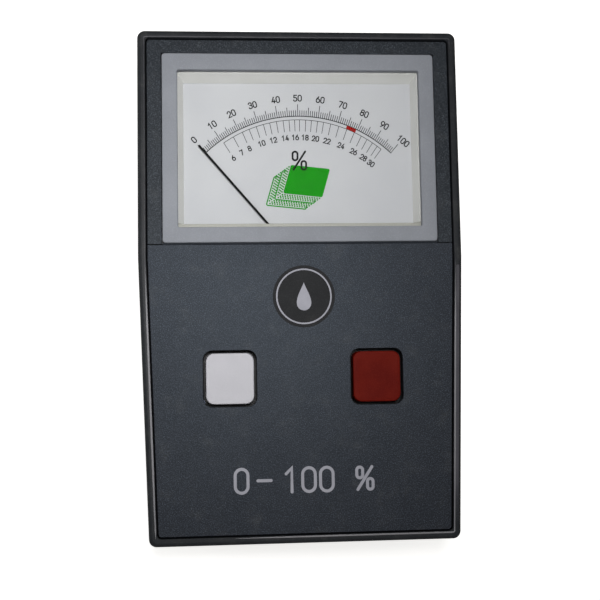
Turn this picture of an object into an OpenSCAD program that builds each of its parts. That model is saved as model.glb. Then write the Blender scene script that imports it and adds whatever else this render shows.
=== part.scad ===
// Hand-held paper moisture meter with a moving-coil dial, lying on its back.
// X runs to the right, Y towards the meter end and Z out of the face. Sizes are in millimetres.

/* [Case] */
// Width of the case at the meter end
case_w = 90; // [88:0.5:94]
// Length of the case
case_l = 142; // [140:0.5:148]
// Height of the case from its back to the top of the rim
case_h = 42; // [41.5:0.5:46]
// Thickness of the side walls and the back
wall = 2.5; // [2:0.1:3]
// How much each side draws in towards the lower end
end_taper = 2.7; // [2:0.1:3.4]
// Height on the face at which the sides start to draw in
taper_y = 7; // [4:0.5:9]
// Radius of the four corners in plan
corner_r = 2.1; // [1.2:0.1:3]
// Rounding of the rim's outer edge
rim_edge_r = 1.2; // [0.6:0.1:1.6]
// Rounding of the back's outer edge
back_edge_r = 2; // [1:0.1:2.2]
// How much the sides draw in from the rim to the back
side_draft = 1; // [0.4:0.1:1.6]
// Height of the joint between the two shells
split_z = 20; // [19:0.5:21]
// Height of the lip that locates the two shells
lip_h = 1.6; // [1:0.1:2.2]
// Thickness of the locating lip
lip_t = 1; // [0.8:0.1:1.2]
// Free gap round the locating lip
lip_gap = 0.15; // [0.1:0.05:0.25]

/* [Face] */
// Width of the rim round the face plates
rim_w = 2.2; // [1.8:0.1:2.6]
// Groove between the rim and the face plates
plate_gap = 0.45; // [0.3:0.05:0.6]
// How far the rim stands above the face plates
rim_up = 0.6; // [0.3:0.1:0.9]
// Thickness of the face plates
plate_t = 1.2; // [0.8:0.1:1.5]
// Thickness of the front wall under the face plates
front_t = 2; // [1.5:0.1:2.4]
// Corner radius of the face plates
plate_r = 0.9; // [0.5:0.1:1.5]

/* [Meter window] */
// Face left between the window frame and the groove on each side
bezel_side = 4.15; // [3.6:0.05:4.6]
// Height of the grey window frame
bezel_l = 53.3; // [52.8:0.1:54]
// Corner radius of the window frame
bezel_r = 0.9; // [0.5:0.1:1.4]
// How far the window frame stands above the face plates
bezel_up = 0.6; // [0.3:0.1:0.8]
// Face left between the window frame and the groove at the meter end
bezel_margin = 3.95; // [3.6:0.05:4.4]
// Gap between the window frame and the plates round it
bezel_gap = 0.2; // [0.1:0.05:0.3]
// Side border of the window frame
window_side = 4.25; // [4:0.05:4.6]
// Height of the window opening
window_l = 44.3; // [43.8:0.1:44.8]
// Lower border of the window frame
window_low = 4.3; // [4:0.1:4.6]
// Thickness of the window pane
pane_t = 1.5; // [1:0.1:1.6]
// How far the pane reaches behind the window frame
pane_lap = 1.1; // [0.8:0.1:1.3]

/* [Dial] */
// Depth of the dial below the face
dial_drop = 6; // [5.6:0.1:6.4]
// Thickness of the dial plate
dial_t = 0.8; // [0.5:0.1:1]
// How far the sloped frame covers the dial on each side
dial_lap = 1.85; // [1.5:0.05:2.2]
// How far the sloped frame covers the dial at the meter end
top_lap = 2.7; // [2:0.05:3]
// How far the lower lip of the sloped frame stands up into the window
lip_over = 1.33; // [1:0.05:1.6]
// Room beside the pointer in the notch of the dial frame, at the pointer's stops
slot_side = 4; // [3.5:0.1:5]

/* [Meter housing] */
// Wall of the meter housing
tub_wall = 1.4; // [1.2:0.1:1.6]
// Width of the deep part that holds the movement
well_w = 33; // [32:0.5:35]
// Height of the outer floor of the deep part
well_z = 8; // [7:0.5:9]
// Depth of the shallow part under the dial
tray_depth = 5.6; // [5:0.1:6.5]
// Gap between the meter housing and its opening in the case
tub_gap = 0.25; // [0.15:0.05:0.35]

/* [Movement] */
// Distance of the pointer's axis below the window frame
pivot_drop = 4.7; // [4.3:0.1:5.1]
// Outer radius of the iron ring
ring_r = 12.5; // [12:0.1:13]
// Radial gap in which the coil swings
air_gap = 2.5; // [2.4:0.05:2.7]
// Radius of the core magnet
core_r = 6.4; // [6:0.1:6.6]
// Height of the pointer above the coil
staff_rise = 7.1; // [6.8:0.1:7.6]
// Width of the coil's sides
coil_t = 2.2; // [1.8:0.1:2.4]
// Wall of the coil former
former_t = 0.4; // [0.3:0.05:0.5]
// Build-up of the winding on the former
winding_t = 0.8; // [0.6:0.05:0.9]
// Free gap between the core and the coil former
coil_gap = 0.6; // [0.5:0.05:0.7]
// Radius of the pointer's steel staff
staff_r = 0.5; // [0.4:0.05:0.6]
// Radius of the jewel screws
jewel_r = 1.3; // [1.1:0.1:1.5]
// Running clearance of the staff's points in the jewel screws
jewel_gap = 0.05; // [0.03:0.01:0.08]
// Length of the pointer from its axis
pointer_l = 43.5; // [42:0.5:44]
// Width of the pointer
pointer_w = 0.5; // [0.4:0.05:0.7]
// Thickness of the pointer and its hub
pointer_t = 0.35; // [0.3:0.05:0.5]
// Dial left between the pointer's tip and the sloped frame at either end of the scale
pointer_side = 3.85; // [3.4:0.05:4.4]
// Free angle between the pointer at rest and its stop
stop_angle = 1.5; // [1:0.25:2]
// Number of turns in each hairspring
hairspring_turns = 3; // [2:1:4]

/* [Buttons] */
// Width of a button cap
cap_w = 13.05; // [12.6:0.05:13.4]
// Height of a button cap on the face
cap_l = 13.85; // [13.4:0.05:14.2]
// Corner radius of a button cap
cap_r = 1.7; // [1:0.1:2.2]
// Gap between a button cap and its opening
cap_gap = 0.8; // [0.6:0.05:1]
// Depth of a button cap
cap_h = 4.6; // [4:0.1:5]
// Wall of a button cap
cap_wall = 1.2; // [1:0.1:1.5]
// Distance of a button from the middle line
button_x = 20.2; // [19.5:0.1:21]
// Height of the buttons on the face
button_y = -26.3; // [-27.5:0.1:-25]
// Travel of a button
button_travel = 2; // [1.5:0.1:2.2]
// Side of a switch body
switch_w = 12; // [11:0.5:12.5]
// Gap between a pressed cap and its switch
switch_gap = 0.6; // [0.4:0.1:2]
// How far a stem reaches into its switch at rest
stem_in = 1.8; // [1.4:0.1:2.4]
// Side of the stem under a cap
stem_w = 5; // [4.5:0.1:5.5]
// Gap round the stem in its switch
stem_gap = 0.2; // [0.1:0.05:0.3]
// Wire of the return springs
spring_wire = 0.5; // [0.4:0.05:0.6]

/* [Circuit board] */
// Thickness of the circuit board
board_t = 1.6; // [1.2:0.1:1.8]
// Gap between the battery bay and the board
board_rise = 1.6; // [1.2:0.1:2]
// Gap between the board and the case walls
board_gap = 1.2; // [0.8:0.1:1.6]
// Width of the board's narrow part between the lower case screws
board_low_w = 58; // [56:1:60]
// Gap between the tallest capacitor and the front wall
capacitor_gap = 3; // [2:0.5:5]

/* [Adjusting wheel] */
// Radius of the adjusting wheel
wheel_r = 9; // [8.5:0.1:9.5]
// Thickness of the adjusting wheel
wheel_t = 3; // [2.5:0.1:3.2]
// Height of the wheel's axis on the face
wheel_y = -44; // [-46:0.5:-42]
// How far the wheel stands out of the side wall
wheel_out = 1; // [0.8:0.1:1.3]
// Grooves round the wheel
wheel_grooves = 30; // [24:1:36]
// Radius of the wheel's shaft
wheel_shaft_r = 1.5; // [1.3:0.1:1.8]
// Running clearance of the wheel's shaft
shaft_gap = 0.05; // [0.03:0.01:0.08]

/* [Sockets] */
// Bore radius of an electrode socket
socket_r = 2; // [2:0.05:2.1]
// Distance between the two sockets
socket_pitch = 19; // [18:0.5:22]
// Height of the sockets above the back
socket_z = 12; // [11:0.5:13]
// Depth of a socket bore
socket_depth = 16; // [14:0.5:18]
// Wall of a socket sleeve
sleeve_t = 0.9; // [0.7:0.05:1.1]
// Wall of a socket insulator
insulator_t = 1.4; // [1.2:0.1:1.6]
// Width of the flange round a socket
flange_w = 1.3; // [1:0.1:1.6]
// Thickness of the flange round a socket
flange_t = 0.7; // [0.5:0.05:0.8]

/* [Battery] */
// Length of the battery without its snaps
battery_l = 46; // [45.5:0.1:46.5]
// Width of the battery
battery_w = 26.2; // [25.8:0.1:26.5]
// Thickness of the battery
battery_h = 17; // [16.6:0.1:17.5]
// Height of the battery's snaps
snap_h = 2.6; // [2.2:0.1:3]
// Distance between the battery's snaps
snap_pitch = 12.7; // [12.5:0.1:12.9]
// Free gap round the battery
battery_gap = 0.6; // [0.4:0.1:0.8]
// Wall of the battery bay
bay_wall = 1.4; // [1.2:0.1:1.6]
// Thickness of the foam pad over the battery
foam_t = 1.2; // [1:0.1:1.3]

/* [Battery door] */
// Thickness of the battery door
door_t = 2; // [1.8:0.1:2.1]
// How far the door reaches past the bay on each side
door_lap = 2.6; // [2.2:0.1:3]
// Gap round the door
door_gap = 0.25; // [0.15:0.05:0.35]
// Thickness of the door's runners
runner_t = 0.8; // [0.7:0.05:0.9]
// Width of the door's runners
runner_w = 1.2; // [1:0.1:1.4]
// Number of grip ridges on the door
grip_ridges = 5; // [3:1:6]

/* [Case screws] */
// Radius of a case screw
screw_r = 1.2; // [1.1:0.05:1.3]
// Radius of a case screw's head
screw_head_r = 2.2; // [2:0.1:2.3]
// Height of a case screw's head
screw_head_h = 2; // [1.8:0.1:2.4]
// Length of a case screw under its head
screw_l = 22; // [20:0.5:23]
// Distance of the screws at the meter end from the side of the case
screw_side_high = 5.8; // [5.6:0.1:5.9]
// Distance of the screws at the lower end from the side of the case
screw_side_low = 6.6; // [6:0.1:7]
// Distance of the screws from the ends of the case
screw_end = 7.2; // [6.8:0.1:7.8]

/* [Hidden] */

// Thin slab used as a rib of the case's hull
slab_t = 0.01;
// Overshoot of a cutting body
cut = 1;
// Segments of a full round edge
round_fn = 48;
$fn = round_fn;

face_z = case_h - rim_up;
front_top = face_z - plate_t;
front_low = front_top - front_t;
plate_inset = rim_w + plate_gap;
half_w = case_w / 2;
half_l = case_l / 2;

// Half width of the case at height y on the face
function side_x(y) =
    y >= taper_y ? half_w : half_w - end_taper * (taper_y - y) / (taper_y + half_l);

bezel_w = case_w - 2 * (plate_inset + bezel_side);
window_w = bezel_w - 2 * window_side;
bezel_top = half_l - plate_inset - bezel_margin;
bezel_low = bezel_top - bezel_l;
bezel_y = (bezel_top + bezel_low) / 2;
bezel_z = face_z + bezel_up;
window_y = bezel_low + window_low + window_l / 2;
window_r = 0.5;
seam_y = bezel_low - 2 * bezel_gap;
pivot_y = bezel_low - pivot_drop;

pane_w = window_w + 2 * pane_lap;
pane_l = window_l + 2 * pane_lap;
pane_top = front_top;
pane_low = pane_top - pane_t;
tub_w = pane_w + 2 * tub_wall;
tub_top_y = window_y + pane_l / 2 + tub_wall;
tub_low_y = pivot_y - ring_r - 2.2;
tub_y = (tub_top_y + tub_low_y) / 2;
tub_l = tub_top_y - tub_low_y;

dial_top = face_z - dial_drop;
dial_low = dial_top - dial_t;
dial_view_w = window_w - 2 * dial_lap;
dial_view_top = window_y + window_l / 2 - top_lap;
pane_edge_y = window_y - pane_l / 2;
lip_y = window_y - window_l / 2 + lip_over;
needle_gap = 0.4;
plate_margin = 1.6;
well_top_y = pivot_y + ring_r + 2.2;
well_y = (tub_low_y + well_top_y) / 2;
well_l = well_top_y - tub_low_y;
well_floor = well_z + tub_wall;
tray_z = dial_low - tray_depth;
dial_screw_x = tub_w / 2 - tub_wall - 5;
dial_screw_y = pivot_y + 3.4;
dial_screw_r = 0.8;
dial_boss_r = 2.4;
terminal_x = well_w / 2 - tub_wall - 3.4;
terminal_y = tub_low_y + tub_wall + 3.4;
terminal_r = 1.2;
terminal_drop = 3.6;

// Levels of the movement, from its lower bridge upwards
bridge_t = 1.3;
jewel_l = 2.1;
jewel_cup = 1.2;
level_gap = 0.9;
core_proud = 0.4;
spring_h = 0.5;
lower_bridge_z = well_floor;
lower_jewel_z = lower_bridge_z;
lower_spring_z = lower_jewel_z + jewel_l + 0.1;
coil_low = lower_spring_z + spring_h + level_gap;
end_wall = former_t + winding_t;
core_low = coil_low + end_wall + coil_gap;
ring_z = core_low - core_proud;
pointer_z = dial_top + 1.1;
coil_top = pointer_z - staff_rise;
core_top = coil_top - end_wall - coil_gap;
core_l = core_top - core_low;
ring_l = core_l - 2 * core_proud;
ring_bore = core_r + air_gap;
coil_in = core_r + coil_gap;
coil_out = coil_in + end_wall;
upper_spring_z = pointer_z + pointer_t + 0.25;
arm_z = upper_spring_z + spring_h;
arm_t = 0.35;
upper_bridge_z = arm_z + arm_t;
upper_jewel_low = arm_z + 0.05;
pillar_x = (ring_r + ring_bore) / 2;
pillar_r = 1.5;
bridge_screw_r = 0.7;
spring_r = 4.6;
spring_strip = 0.12;
collet_r = 1;
stop_r = 5.2;
stop_pin_r = 0.35;
hub_r = 1.6;
tail_l = 9;
tail_w = 0.7;
arm_l = 3.6;
arm_w = 0.6;
weight_r = 0.7;
weight_h = 0.6;
point_l = 0.6;
point_in = 0.5;
pointer_half_angle = asin((dial_view_w / 2 - pointer_side) / pointer_l);
rest_turn = pointer_half_angle;
pointer_slot_w = 2 * ((lip_y - pivot_y) * tan(pointer_half_angle) + slot_side);

battery_z = door_t + 0.3;
bay_roof = battery_z + battery_h + foam_t + 0.1;
board_z = bay_roof + bay_wall + board_rise;

cap_top = face_z;
cap_edge = 0.4;
cap_low = cap_top - cap_h;
board_top = board_z + board_t;
switch_top = cap_low - button_travel - switch_gap;
stem_low = switch_top - stem_in;
stem_well = stem_low - button_travel - 0.4;
spring_coils = 3;
spring_coil_r = stem_w / 2 * sqrt(2) + spring_wire;

board_high_y = tub_low_y - 1.6;
board_low_y = -half_l + wall + side_draft + board_gap;
board_neck_y = -half_l + screw_end + 6.6;

wheel_z = board_top + 1.9;
wheel_x = side_x(wheel_y) - side_draft / 2 + wheel_out - wheel_r;
resistor_y = 35 - half_l;
resistor_pitch = 3.6;
resistor_r = 1.1;
resistor_l = 6;
leg_w = 0.6;
trimmer_x = half_w - 25;
trimmer_y = 29 - half_l;
trimmer_w = 6.8;
trimmer_h = 3.6;
pot_h = 1.4;
pot_r = 5.4;

sleeve_r = socket_r + sleeve_t;
insulator_r = sleeve_r + insulator_t;
flange_r = insulator_r + flange_w;
socket_face = half_l - side_draft * (case_h - rim_edge_r - socket_z) / (case_h - rim_edge_r - back_edge_r);
nut_t = 2.4;
nut_r = insulator_r + 2;
nut_seat = wall + 0.9;
insulator_l = wall + 6;
socket_end_t = 1.5;
socket_tail_l = 4;
socket_tail_y = socket_face - socket_depth - socket_end_t - socket_tail_l;

bay_l = battery_w + 2 * battery_gap;
bay_w = battery_l + snap_h + 4 + 2 * battery_gap;
bay_low_y = -half_l + wall + side_draft + 1.4;
bay_y = bay_low_y + bay_l / 2;
battery_x = -bay_w / 2 + battery_gap;
battery_y = bay_y;
connector_x = battery_x + battery_l + snap_h + 0.1;
connector_t = 2;
connector_h = 12;
snap_r = 2.7;
snap_ring = 1;
snap_gap = 0.05;
door_w = bay_w + 2 * door_lap;
door_top_y = bay_y + bay_l / 2 + door_lap;
door_l = door_top_y + half_l - back_edge_r;

boss_r = 2.5;
foot_boss_r = screw_head_r + 1.3;
screw_seat = 6.5;
screw_gap = 0.2;
function screw_places() = [
    for (sx = [-1, 1], sy = [-1, 1])
        let (y = sy * (half_l - screw_end))
            [sx * (side_x(y) - (sy > 0 ? screw_side_high : screw_side_low)), y]
];

lead_r = 0.7;
lead_bend = 2;
lead_slot_y = 8;
lead_slot_z = bay_roof - 6.5;
lead_slot_h = 3;
lead_slot_l = 5;
sensor_lead_x = well_w / 2 + 5;
lip_root = 3;
lip_back = 0.9;
door_pad_reach = 2;
board_post_r = 2.4;
board_screw_r = 0.9;
board_screw_l = 2.5;

// Plan of the case, drawn in by inset and with its corners rounded by r
module plan(inset = 0, r = corner_r) {
    offset(r = r)
        offset(delta = -inset - r)
            polygon([
                [-half_w, half_l], [-half_w, taper_y], [end_taper - half_w, -half_l],
                [half_w - end_taper, -half_l], [half_w, taper_y], [half_w, half_l]
            ]);
}

// Rectangle of w by l round the origin with corners of radius r
module round_rect(w, l, r) {
    polygon([
        for (corner = [0:3], step = [0:6])
            let (a = 90 * corner + 15 * step,
                 sx = (corner == 0 || corner == 3) ? 1 : -1,
                 sy = corner < 2 ? 1 : -1)
                [sx * (w / 2 - r) + r * cos(a), sy * (l / 2 - r) + r * sin(a)]
    ]);
}

// Upright block with rounded corners, standing on height z
module round_block(w, l, r, z, h) {
    translate([0, 0, z])
        linear_extrude(h)
            round_rect(w, l, r);
}

// Plan slab at height z for the hulls of the case
module plan_slab(z, inset) {
    translate([0, 0, z])
        linear_extrude(slab_t)
            plan(inset, max(corner_r - inset / 2, 0.8));
}

// Whole outer form of the case, with rounded edges at the back and the rim
module case_form() {
    hull() {
        for (a = [0:30:90]) {
            plan_slab(back_edge_r * (1 - sin(a)), side_draft + back_edge_r * (1 - cos(a)));
            plan_slab(case_h - slab_t - rim_edge_r * (1 - sin(a)), rim_edge_r * (1 - cos(a)));
        }
    }
}

// Hollow of the case between the back and the front wall
module case_cavity() {
    hull() {
        plan_slab(wall, side_draft + wall + back_edge_r / 2);
        plan_slab(wall + back_edge_r / 2, side_draft + wall);
        plan_slab(front_low - slab_t, wall);
    }
}

// Ring on the joint between the shells, from inset a to inset b
module joint_ring(z, h, a, b) {
    translate([0, 0, z])
        linear_extrude(h)
            difference() {
                plan(a);
                plan(b, 0.8);
            }
}

module at_screws() {
    for (p = screw_places())
        translate([p[0], p[1], 0])
            children();
}

module at_sockets() {
    for (sx = [-1, 1])
        translate([sx * socket_pitch / 2, socket_face, socket_z])
            rotate([90, 0, 0])
                children();
}

module at_buttons() {
    for (sx = [-1, 1])
        translate([sx * button_x, button_y, 0])
            children();
}

// Centre of the board screws, inside the board's corners
function board_screw_places() = [
    for (sx = [-1, 1]) each [
        [sx * (side_x(board_high_y) - wall - board_gap - 4), board_high_y - 4],
        [sx * (board_low_w / 2 - 3.5), board_low_y + 3.6]
    ]
];

joint_inset = side_draft / 2 + wall;

module upper_shell() {
    color([0.23, 0.24, 0.26])
        difference() {
            union() {
                difference() {
                    intersection() {
                        case_form();
                        translate([-case_w, -case_l, split_z])
                            cube([2 * case_w, 2 * case_l, case_h]);
                    }
                    case_cavity();
                    joint_ring(split_z - cut, cut + lip_h + lip_gap, joint_inset - lip_t - lip_gap, joint_inset + cut);
                }
                intersection() {
                    at_screws()
                        translate([0, 0, split_z])
                            cylinder(r = boss_r, h = front_low - split_z + slab_t);
                    case_form();
                }
            }
            translate([0, 0, front_top])
                linear_extrude(case_h)
                    plan(rim_w, plate_r + plate_gap);
            translate([0, tub_y, 0])
                round_block(tub_w + 2 * tub_gap, tub_l + 2 * tub_gap, 1, split_z, case_h);
            at_buttons()
                round_block(cap_w + 2 * cap_gap, cap_l + 2 * cap_gap, cap_r + cap_gap, front_low - cut, case_h);
            at_screws()
                translate([0, 0, split_z - cut])
                    cylinder(r = screw_r, h = screw_seat + screw_l - split_z + cut + 0.5);
            translate([0, wheel_y - wheel_r - 0.5, wheel_z - 0.6])
                cube([case_w, 2 * wheel_r + 1, wheel_t + 1.2]);
        }
}

module lower_shell() {
    color([0.2, 0.21, 0.23])
        difference() {
            union() {
                difference() {
                    intersection() {
                        case_form();
                        translate([-case_w, -case_l, 0])
                            cube([2 * case_w, 2 * case_l, split_z]);
                    }
                    case_cavity();
                }
                joint_ring(split_z - lip_root, lip_root + lip_h, joint_inset - lip_t, joint_inset + lip_back);
                at_screws()
                    translate([0, 0, wall / 2])
                        cylinder(r = foot_boss_r, h = split_z - wall / 2 - 0.1);
                translate([0, bay_y, 0])
                    round_block(bay_w + 2 * bay_wall, bay_l + 2 * bay_wall, 1, wall / 2, bay_roof + bay_wall - wall / 2);
                translate([-door_w / 2 - 4, -half_l + wall + side_draft, wall / 2])
                    cube([door_w + 8, door_l + door_pad_reach, wall / 2 + 1.2]);
                for (p = board_screw_places())
                    translate([p[0], p[1], wall / 2])
                        cylinder(r = board_post_r, h = board_z - wall / 2);
                at_sockets()
                    translate([0, 0, wall / 2])
                        cylinder(r = nut_r + 0.4, h = nut_seat - wall / 2);
            }
            translate([0, bay_y, 0])
                round_block(bay_w, bay_l, 0.6, -cut, bay_roof + cut);
            door_recess();
            at_screws() {
                translate([0, 0, -cut])
                    cylinder(r = screw_head_r + screw_gap, h = screw_seat + cut);
                translate([0, 0, -cut])
                    cylinder(r = screw_r + screw_gap, h = case_h);
                translate([0, 0, split_z - 0.1])
                    cylinder(r = boss_r + lip_gap, h = lip_h + cut);
            }
            at_sockets()
                translate([0, 0, -cut]) {
                    cylinder(r = insulator_r, h = insulator_l + cut);
                    cylinder(r = flange_r + 0.1, h = cut);
                }
            for (p = board_screw_places())
                translate([p[0], p[1], board_z - board_screw_l])
                    cylinder(r = board_screw_r, h = board_screw_l + cut);
            translate([bay_w / 2 - cut, bay_y + lead_slot_y, lead_slot_z])
                cube([bay_wall + 2 * cut, lead_slot_l, lead_slot_h]);
        }
}

// Recess in the back for the battery door, open at the lower end, with a groove on each side
module door_recess() {
    recess_w = door_w + 2 * door_gap;
    translate([-recess_w / 2, -half_l - cut, -cut])
        cube([recess_w, door_top_y + door_gap + half_l + cut, door_t + door_gap / 2 + cut]);
    translate([-recess_w / 2 - runner_w, -half_l - cut, (door_t - runner_t) / 2 - door_gap / 2])
        cube([recess_w + 2 * runner_w, door_top_y + door_gap + half_l + cut, runner_t + door_gap]);
}

module battery_door() {
    color([0.2, 0.21, 0.23])
        difference() {
            intersection() {
                union() {
                    translate([-door_w / 2, -half_l, 0])
                        cube([door_w, door_top_y + half_l, door_t]);
                    translate([-door_w / 2 - runner_w, -half_l, (door_t - runner_t) / 2])
                        cube([door_w + 2 * runner_w, door_top_y + half_l, runner_t]);
                }
                case_form();
            }
            for (i = [0:grip_ridges])
                translate([-8, bay_y + 2 * (i - grip_ridges / 2) - 0.4, -cut])
                    cube([16, 0.8, cut + 0.5]);
        }
}

module case_screw() {
    difference() {
        union() {
            translate([0, 0, screw_seat - screw_head_h])
                cylinder(r = screw_head_r, h = screw_head_h);
            translate([0, 0, screw_seat])
                cylinder(r = screw_r, h = screw_l - 1);
            translate([0, 0, screw_seat + screw_l - 1])
                cylinder(r1 = screw_r, r2 = screw_r / 2, h = 1);
        }
        for (a = [0, 90])
            rotate([0, 0, a])
                translate([-1.6, -0.35, screw_seat - screw_head_h - cut])
                    cube([3.2, 0.7, cut + 1.1]);
    }
}

module case_screws() {
    color([0.6, 0.6, 0.62])
        at_screws()
            case_screw();
}

// Textured plate round the window frame, open towards the front plate
module meter_surround() {
    color([0.24, 0.25, 0.27])
        translate([0, 0, front_top])
            linear_extrude(plate_t)
                difference() {
                    intersection() {
                        plan(plate_inset, plate_r);
                        translate([-half_w, seam_y + bezel_gap / 2])
                            square([case_w, half_l]);
                    }
                    translate([0, bezel_y - cut])
                        square([bezel_w + 2 * bezel_gap, bezel_l + 2 * bezel_gap + 2 * cut], center = true);
                }
}

// Slate grey metal plate over the lower part of the face
module front_plate() {
    color([0.22, 0.25, 0.28])
        translate([0, 0, front_top])
            linear_extrude(plate_t)
                difference() {
                    intersection() {
                        plan(plate_inset, plate_r);
                        translate([-half_w, -half_l])
                            square([case_w, half_l + seam_y - bezel_gap / 2]);
                    }
                    at_buttons()
                        round_rect(cap_w + 2 * cap_gap, cap_l + 2 * cap_gap, cap_r + cap_gap);
                }
}

// Grey window frame with a skirt that holds the pane
module meter_bezel() {
    color([0.55, 0.56, 0.58])
        difference() {
            union() {
                translate([0, bezel_y, 0])
                    round_block(bezel_w, bezel_l, bezel_r, front_top, bezel_z - front_top);
                translate([0, window_y, 0])
                    round_block(tub_w, pane_l + 2 * tub_wall, 1, pane_low, pane_t);
            }
            translate([0, window_y, 0]) {
                round_block(window_w, window_l, window_r, pane_low - cut, case_h);
                round_block(pane_w, pane_l, window_r, pane_low - cut, pane_t + cut);
            }
        }
}

module window_pane() {
    color([0.8, 0.88, 0.92, 0.3])
        translate([0, window_y, 0])
            round_block(pane_w - 0.1, pane_l - 0.1, window_r, pane_low, pane_t);
}

// Ivory frame that slopes from the pane down to the dial
module dial_frame() {
    color([0.75, 0.75, 0.72])
        difference() {
            translate([0, window_y, 0])
                round_block(tub_w - 2 * tub_wall - 0.1, pane_l - 0.1, 0.6, dial_top, pane_low - dial_top);
            hull() {
                translate([-dial_view_w / 2, lip_y, dial_top - cut])
                    cube([dial_view_w, dial_view_top - lip_y, cut]);
                translate([-window_w / 2, lip_y, pane_low])
                    cube([window_w, window_y + window_l / 2 - lip_y, cut]);
            }
            translate([-pointer_slot_w / 2, pane_edge_y - cut, dial_top - cut])
                cube([pointer_slot_w, lip_y + 2 * cut - pane_edge_y, pointer_z + pointer_t + needle_gap + cut - dial_top]);
        }
}

module dial_plate() {
    color([0.8, 0.8, 0.82])
        translate([0, 0, dial_low])
            linear_extrude(dial_t)
                difference() {
                    translate([-tub_w / 2 + tub_wall + 0.2, pivot_y + 1])
                        square([tub_w - 2 * tub_wall - 0.4, tub_top_y - tub_wall - 0.2 - pivot_y - 1]);
                    translate([-pointer_slot_w / 2, pivot_y])
                        square([pointer_slot_w, pane_edge_y - plate_margin - pivot_y]);
                    for (sx = [-1, 1])
                        translate([sx * dial_screw_x, dial_screw_y])
                            circle(r = 0.9);
                }
}

module dial_screws() {
    color([0.7, 0.6, 0.35])
        for (sx = [-1, 1])
            translate([sx * dial_screw_x, dial_screw_y, dial_top])
                difference() {
                    union() {
                        cylinder(r = 1.7, h = 0.9);
                        translate([0, 0, -4])
                            cylinder(r = dial_screw_r, h = 4);
                    }
                    translate([-2, -0.25, 0.5])
                        cube([4, 0.5, 1]);
                }
}

// Black housing of the meter: a shallow tray under the dial and a deep well for the movement
module meter_housing() {
    color([0.12, 0.12, 0.13])
        difference() {
            union() {
                translate([0, tub_y, 0])
                    round_block(tub_w, tub_l, 1, tray_z, pane_low - tray_z);
                translate([0, well_y, 0])
                    round_block(well_w, well_l, 1, well_z, tray_z - well_z + cut);
            }
            difference() {
                translate([0, tub_y, 0])
                    round_block(tub_w - 2 * tub_wall, tub_l - 2 * tub_wall, 0.6, tray_z + tub_wall, case_h);
                for (sx = [-1, 1], y = [dial_screw_y, tub_top_y - tub_wall - 3])
                    translate([sx * dial_screw_x, y, tray_z])
                        cylinder(r = dial_boss_r, h = dial_low - tray_z);
            }
            translate([0, well_y, 0])
                round_block(well_w - 2 * tub_wall, well_l - 2 * tub_wall, 0.6, well_floor, case_h);
            for (sx = [-1, 1]) {
                translate([sx * dial_screw_x, dial_screw_y, dial_low - 4.5])
                    cylinder(r = dial_screw_r, h = 6);
                translate([sx * terminal_x, terminal_y, well_z - cut])
                    cylinder(r = terminal_r, h = tub_wall + 2 * cut);
            }
        }
}

// Brass terminal studs with a nut outside the floor of the well
module meter_terminals() {
    color([0.75, 0.6, 0.3])
        for (sx = [-1, 1])
            translate([sx * terminal_x, terminal_y, 0]) {
                translate([0, 0, well_z - terminal_drop])
                    cylinder(r = terminal_r, h = well_floor - well_z + terminal_drop);
                translate([0, 0, well_floor])
                    cylinder(r = 2.2, h = 1);
                translate([0, 0, well_z - 1.6])
                    difference() {
                        cylinder(r = 2.4, h = 1.6, $fn = 6);
                        translate([0, 0, -cut])
                            cylinder(r = terminal_r, h = 1.6 + 2 * cut);
                    }
            }
}

module at_pivot(z = 0) {
    translate([0, pivot_y, z])
        children();
}

module iron_ring() {
    color([0.45, 0.45, 0.48])
        at_pivot(ring_z)
            difference() {
                cylinder(r = ring_r, h = ring_l);
                translate([0, 0, -cut])
                    cylinder(r = ring_bore, h = ring_l + 2 * cut);
                for (sx = [-1, 1])
                    translate([sx * pillar_x, 0, ring_l - 4])
                        cylinder(r = bridge_screw_r, h = 4 + cut);
            }
}

module core_magnet() {
    color([0.5, 0.5, 0.53])
        at_pivot(core_low)
            cylinder(r = core_r, h = core_l);
}

// Die-cast webs that carry the core in the ring, clear of the coil's swing
module core_webs() {
    color([0.62, 0.62, 0.62])
        at_pivot(ring_z + 2)
            intersection() {
                difference() {
                    cylinder(r = ring_bore, h = ring_l - 4);
                    translate([0, 0, -cut])
                        cylinder(r = core_r, h = ring_l);
                }
                translate([-2.5, -ring_r, 0])
                    cube([5, 2 * ring_r, ring_l]);
            }
}

// Brass bar on the floor of the well, with two pillars that carry the iron ring
module lower_bridge() {
    color([0.72, 0.6, 0.32])
        at_pivot(lower_bridge_z)
            difference() {
                union() {
                    translate([-2.5, -pillar_x - 2, 0])
                        cube([5, 2 * pillar_x + 4, bridge_t]);
                    for (sy = [-1, 1])
                        translate([0, sy * pillar_x, 0])
                            cylinder(r = pillar_r, h = ring_z - lower_bridge_z);
                    translate([-0.5, -spring_r - 0.7, 0])
                        cube([1, 0.6, lower_spring_z + spring_h - lower_bridge_z]);
                }
                translate([0, 0, -cut])
                    cylinder(r = jewel_r, h = bridge_t + 2 * cut);
            }
}

// Brass bar over the pointer, on two pillars that stand on the iron ring
module upper_bridge() {
    color([0.72, 0.6, 0.32])
        at_pivot()
            difference() {
                union() {
                    translate([0, 0, upper_bridge_z]) {
                        translate([-pillar_x - 2, -2.2, 0])
                            cube([2 * pillar_x + 4, 4.4, bridge_t]);
                        cylinder(r = stop_r + stop_pin_r + 0.25, h = bridge_t);
                    }
                    for (sx = [-1, 1])
                        translate([sx * pillar_x, 0, ring_z + ring_l])
                            cylinder(r = pillar_r, h = upper_bridge_z - ring_z - ring_l);
                }
                translate([0, 0, upper_bridge_z - cut])
                    cylinder(r = jewel_r, h = bridge_t + 2 * cut);
                for (sx = [-1, 1])
                    translate([sx * pillar_x, 0, ring_z + ring_l - cut])
                        cylinder(r = bridge_screw_r, h = case_h);
            }
}

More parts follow.
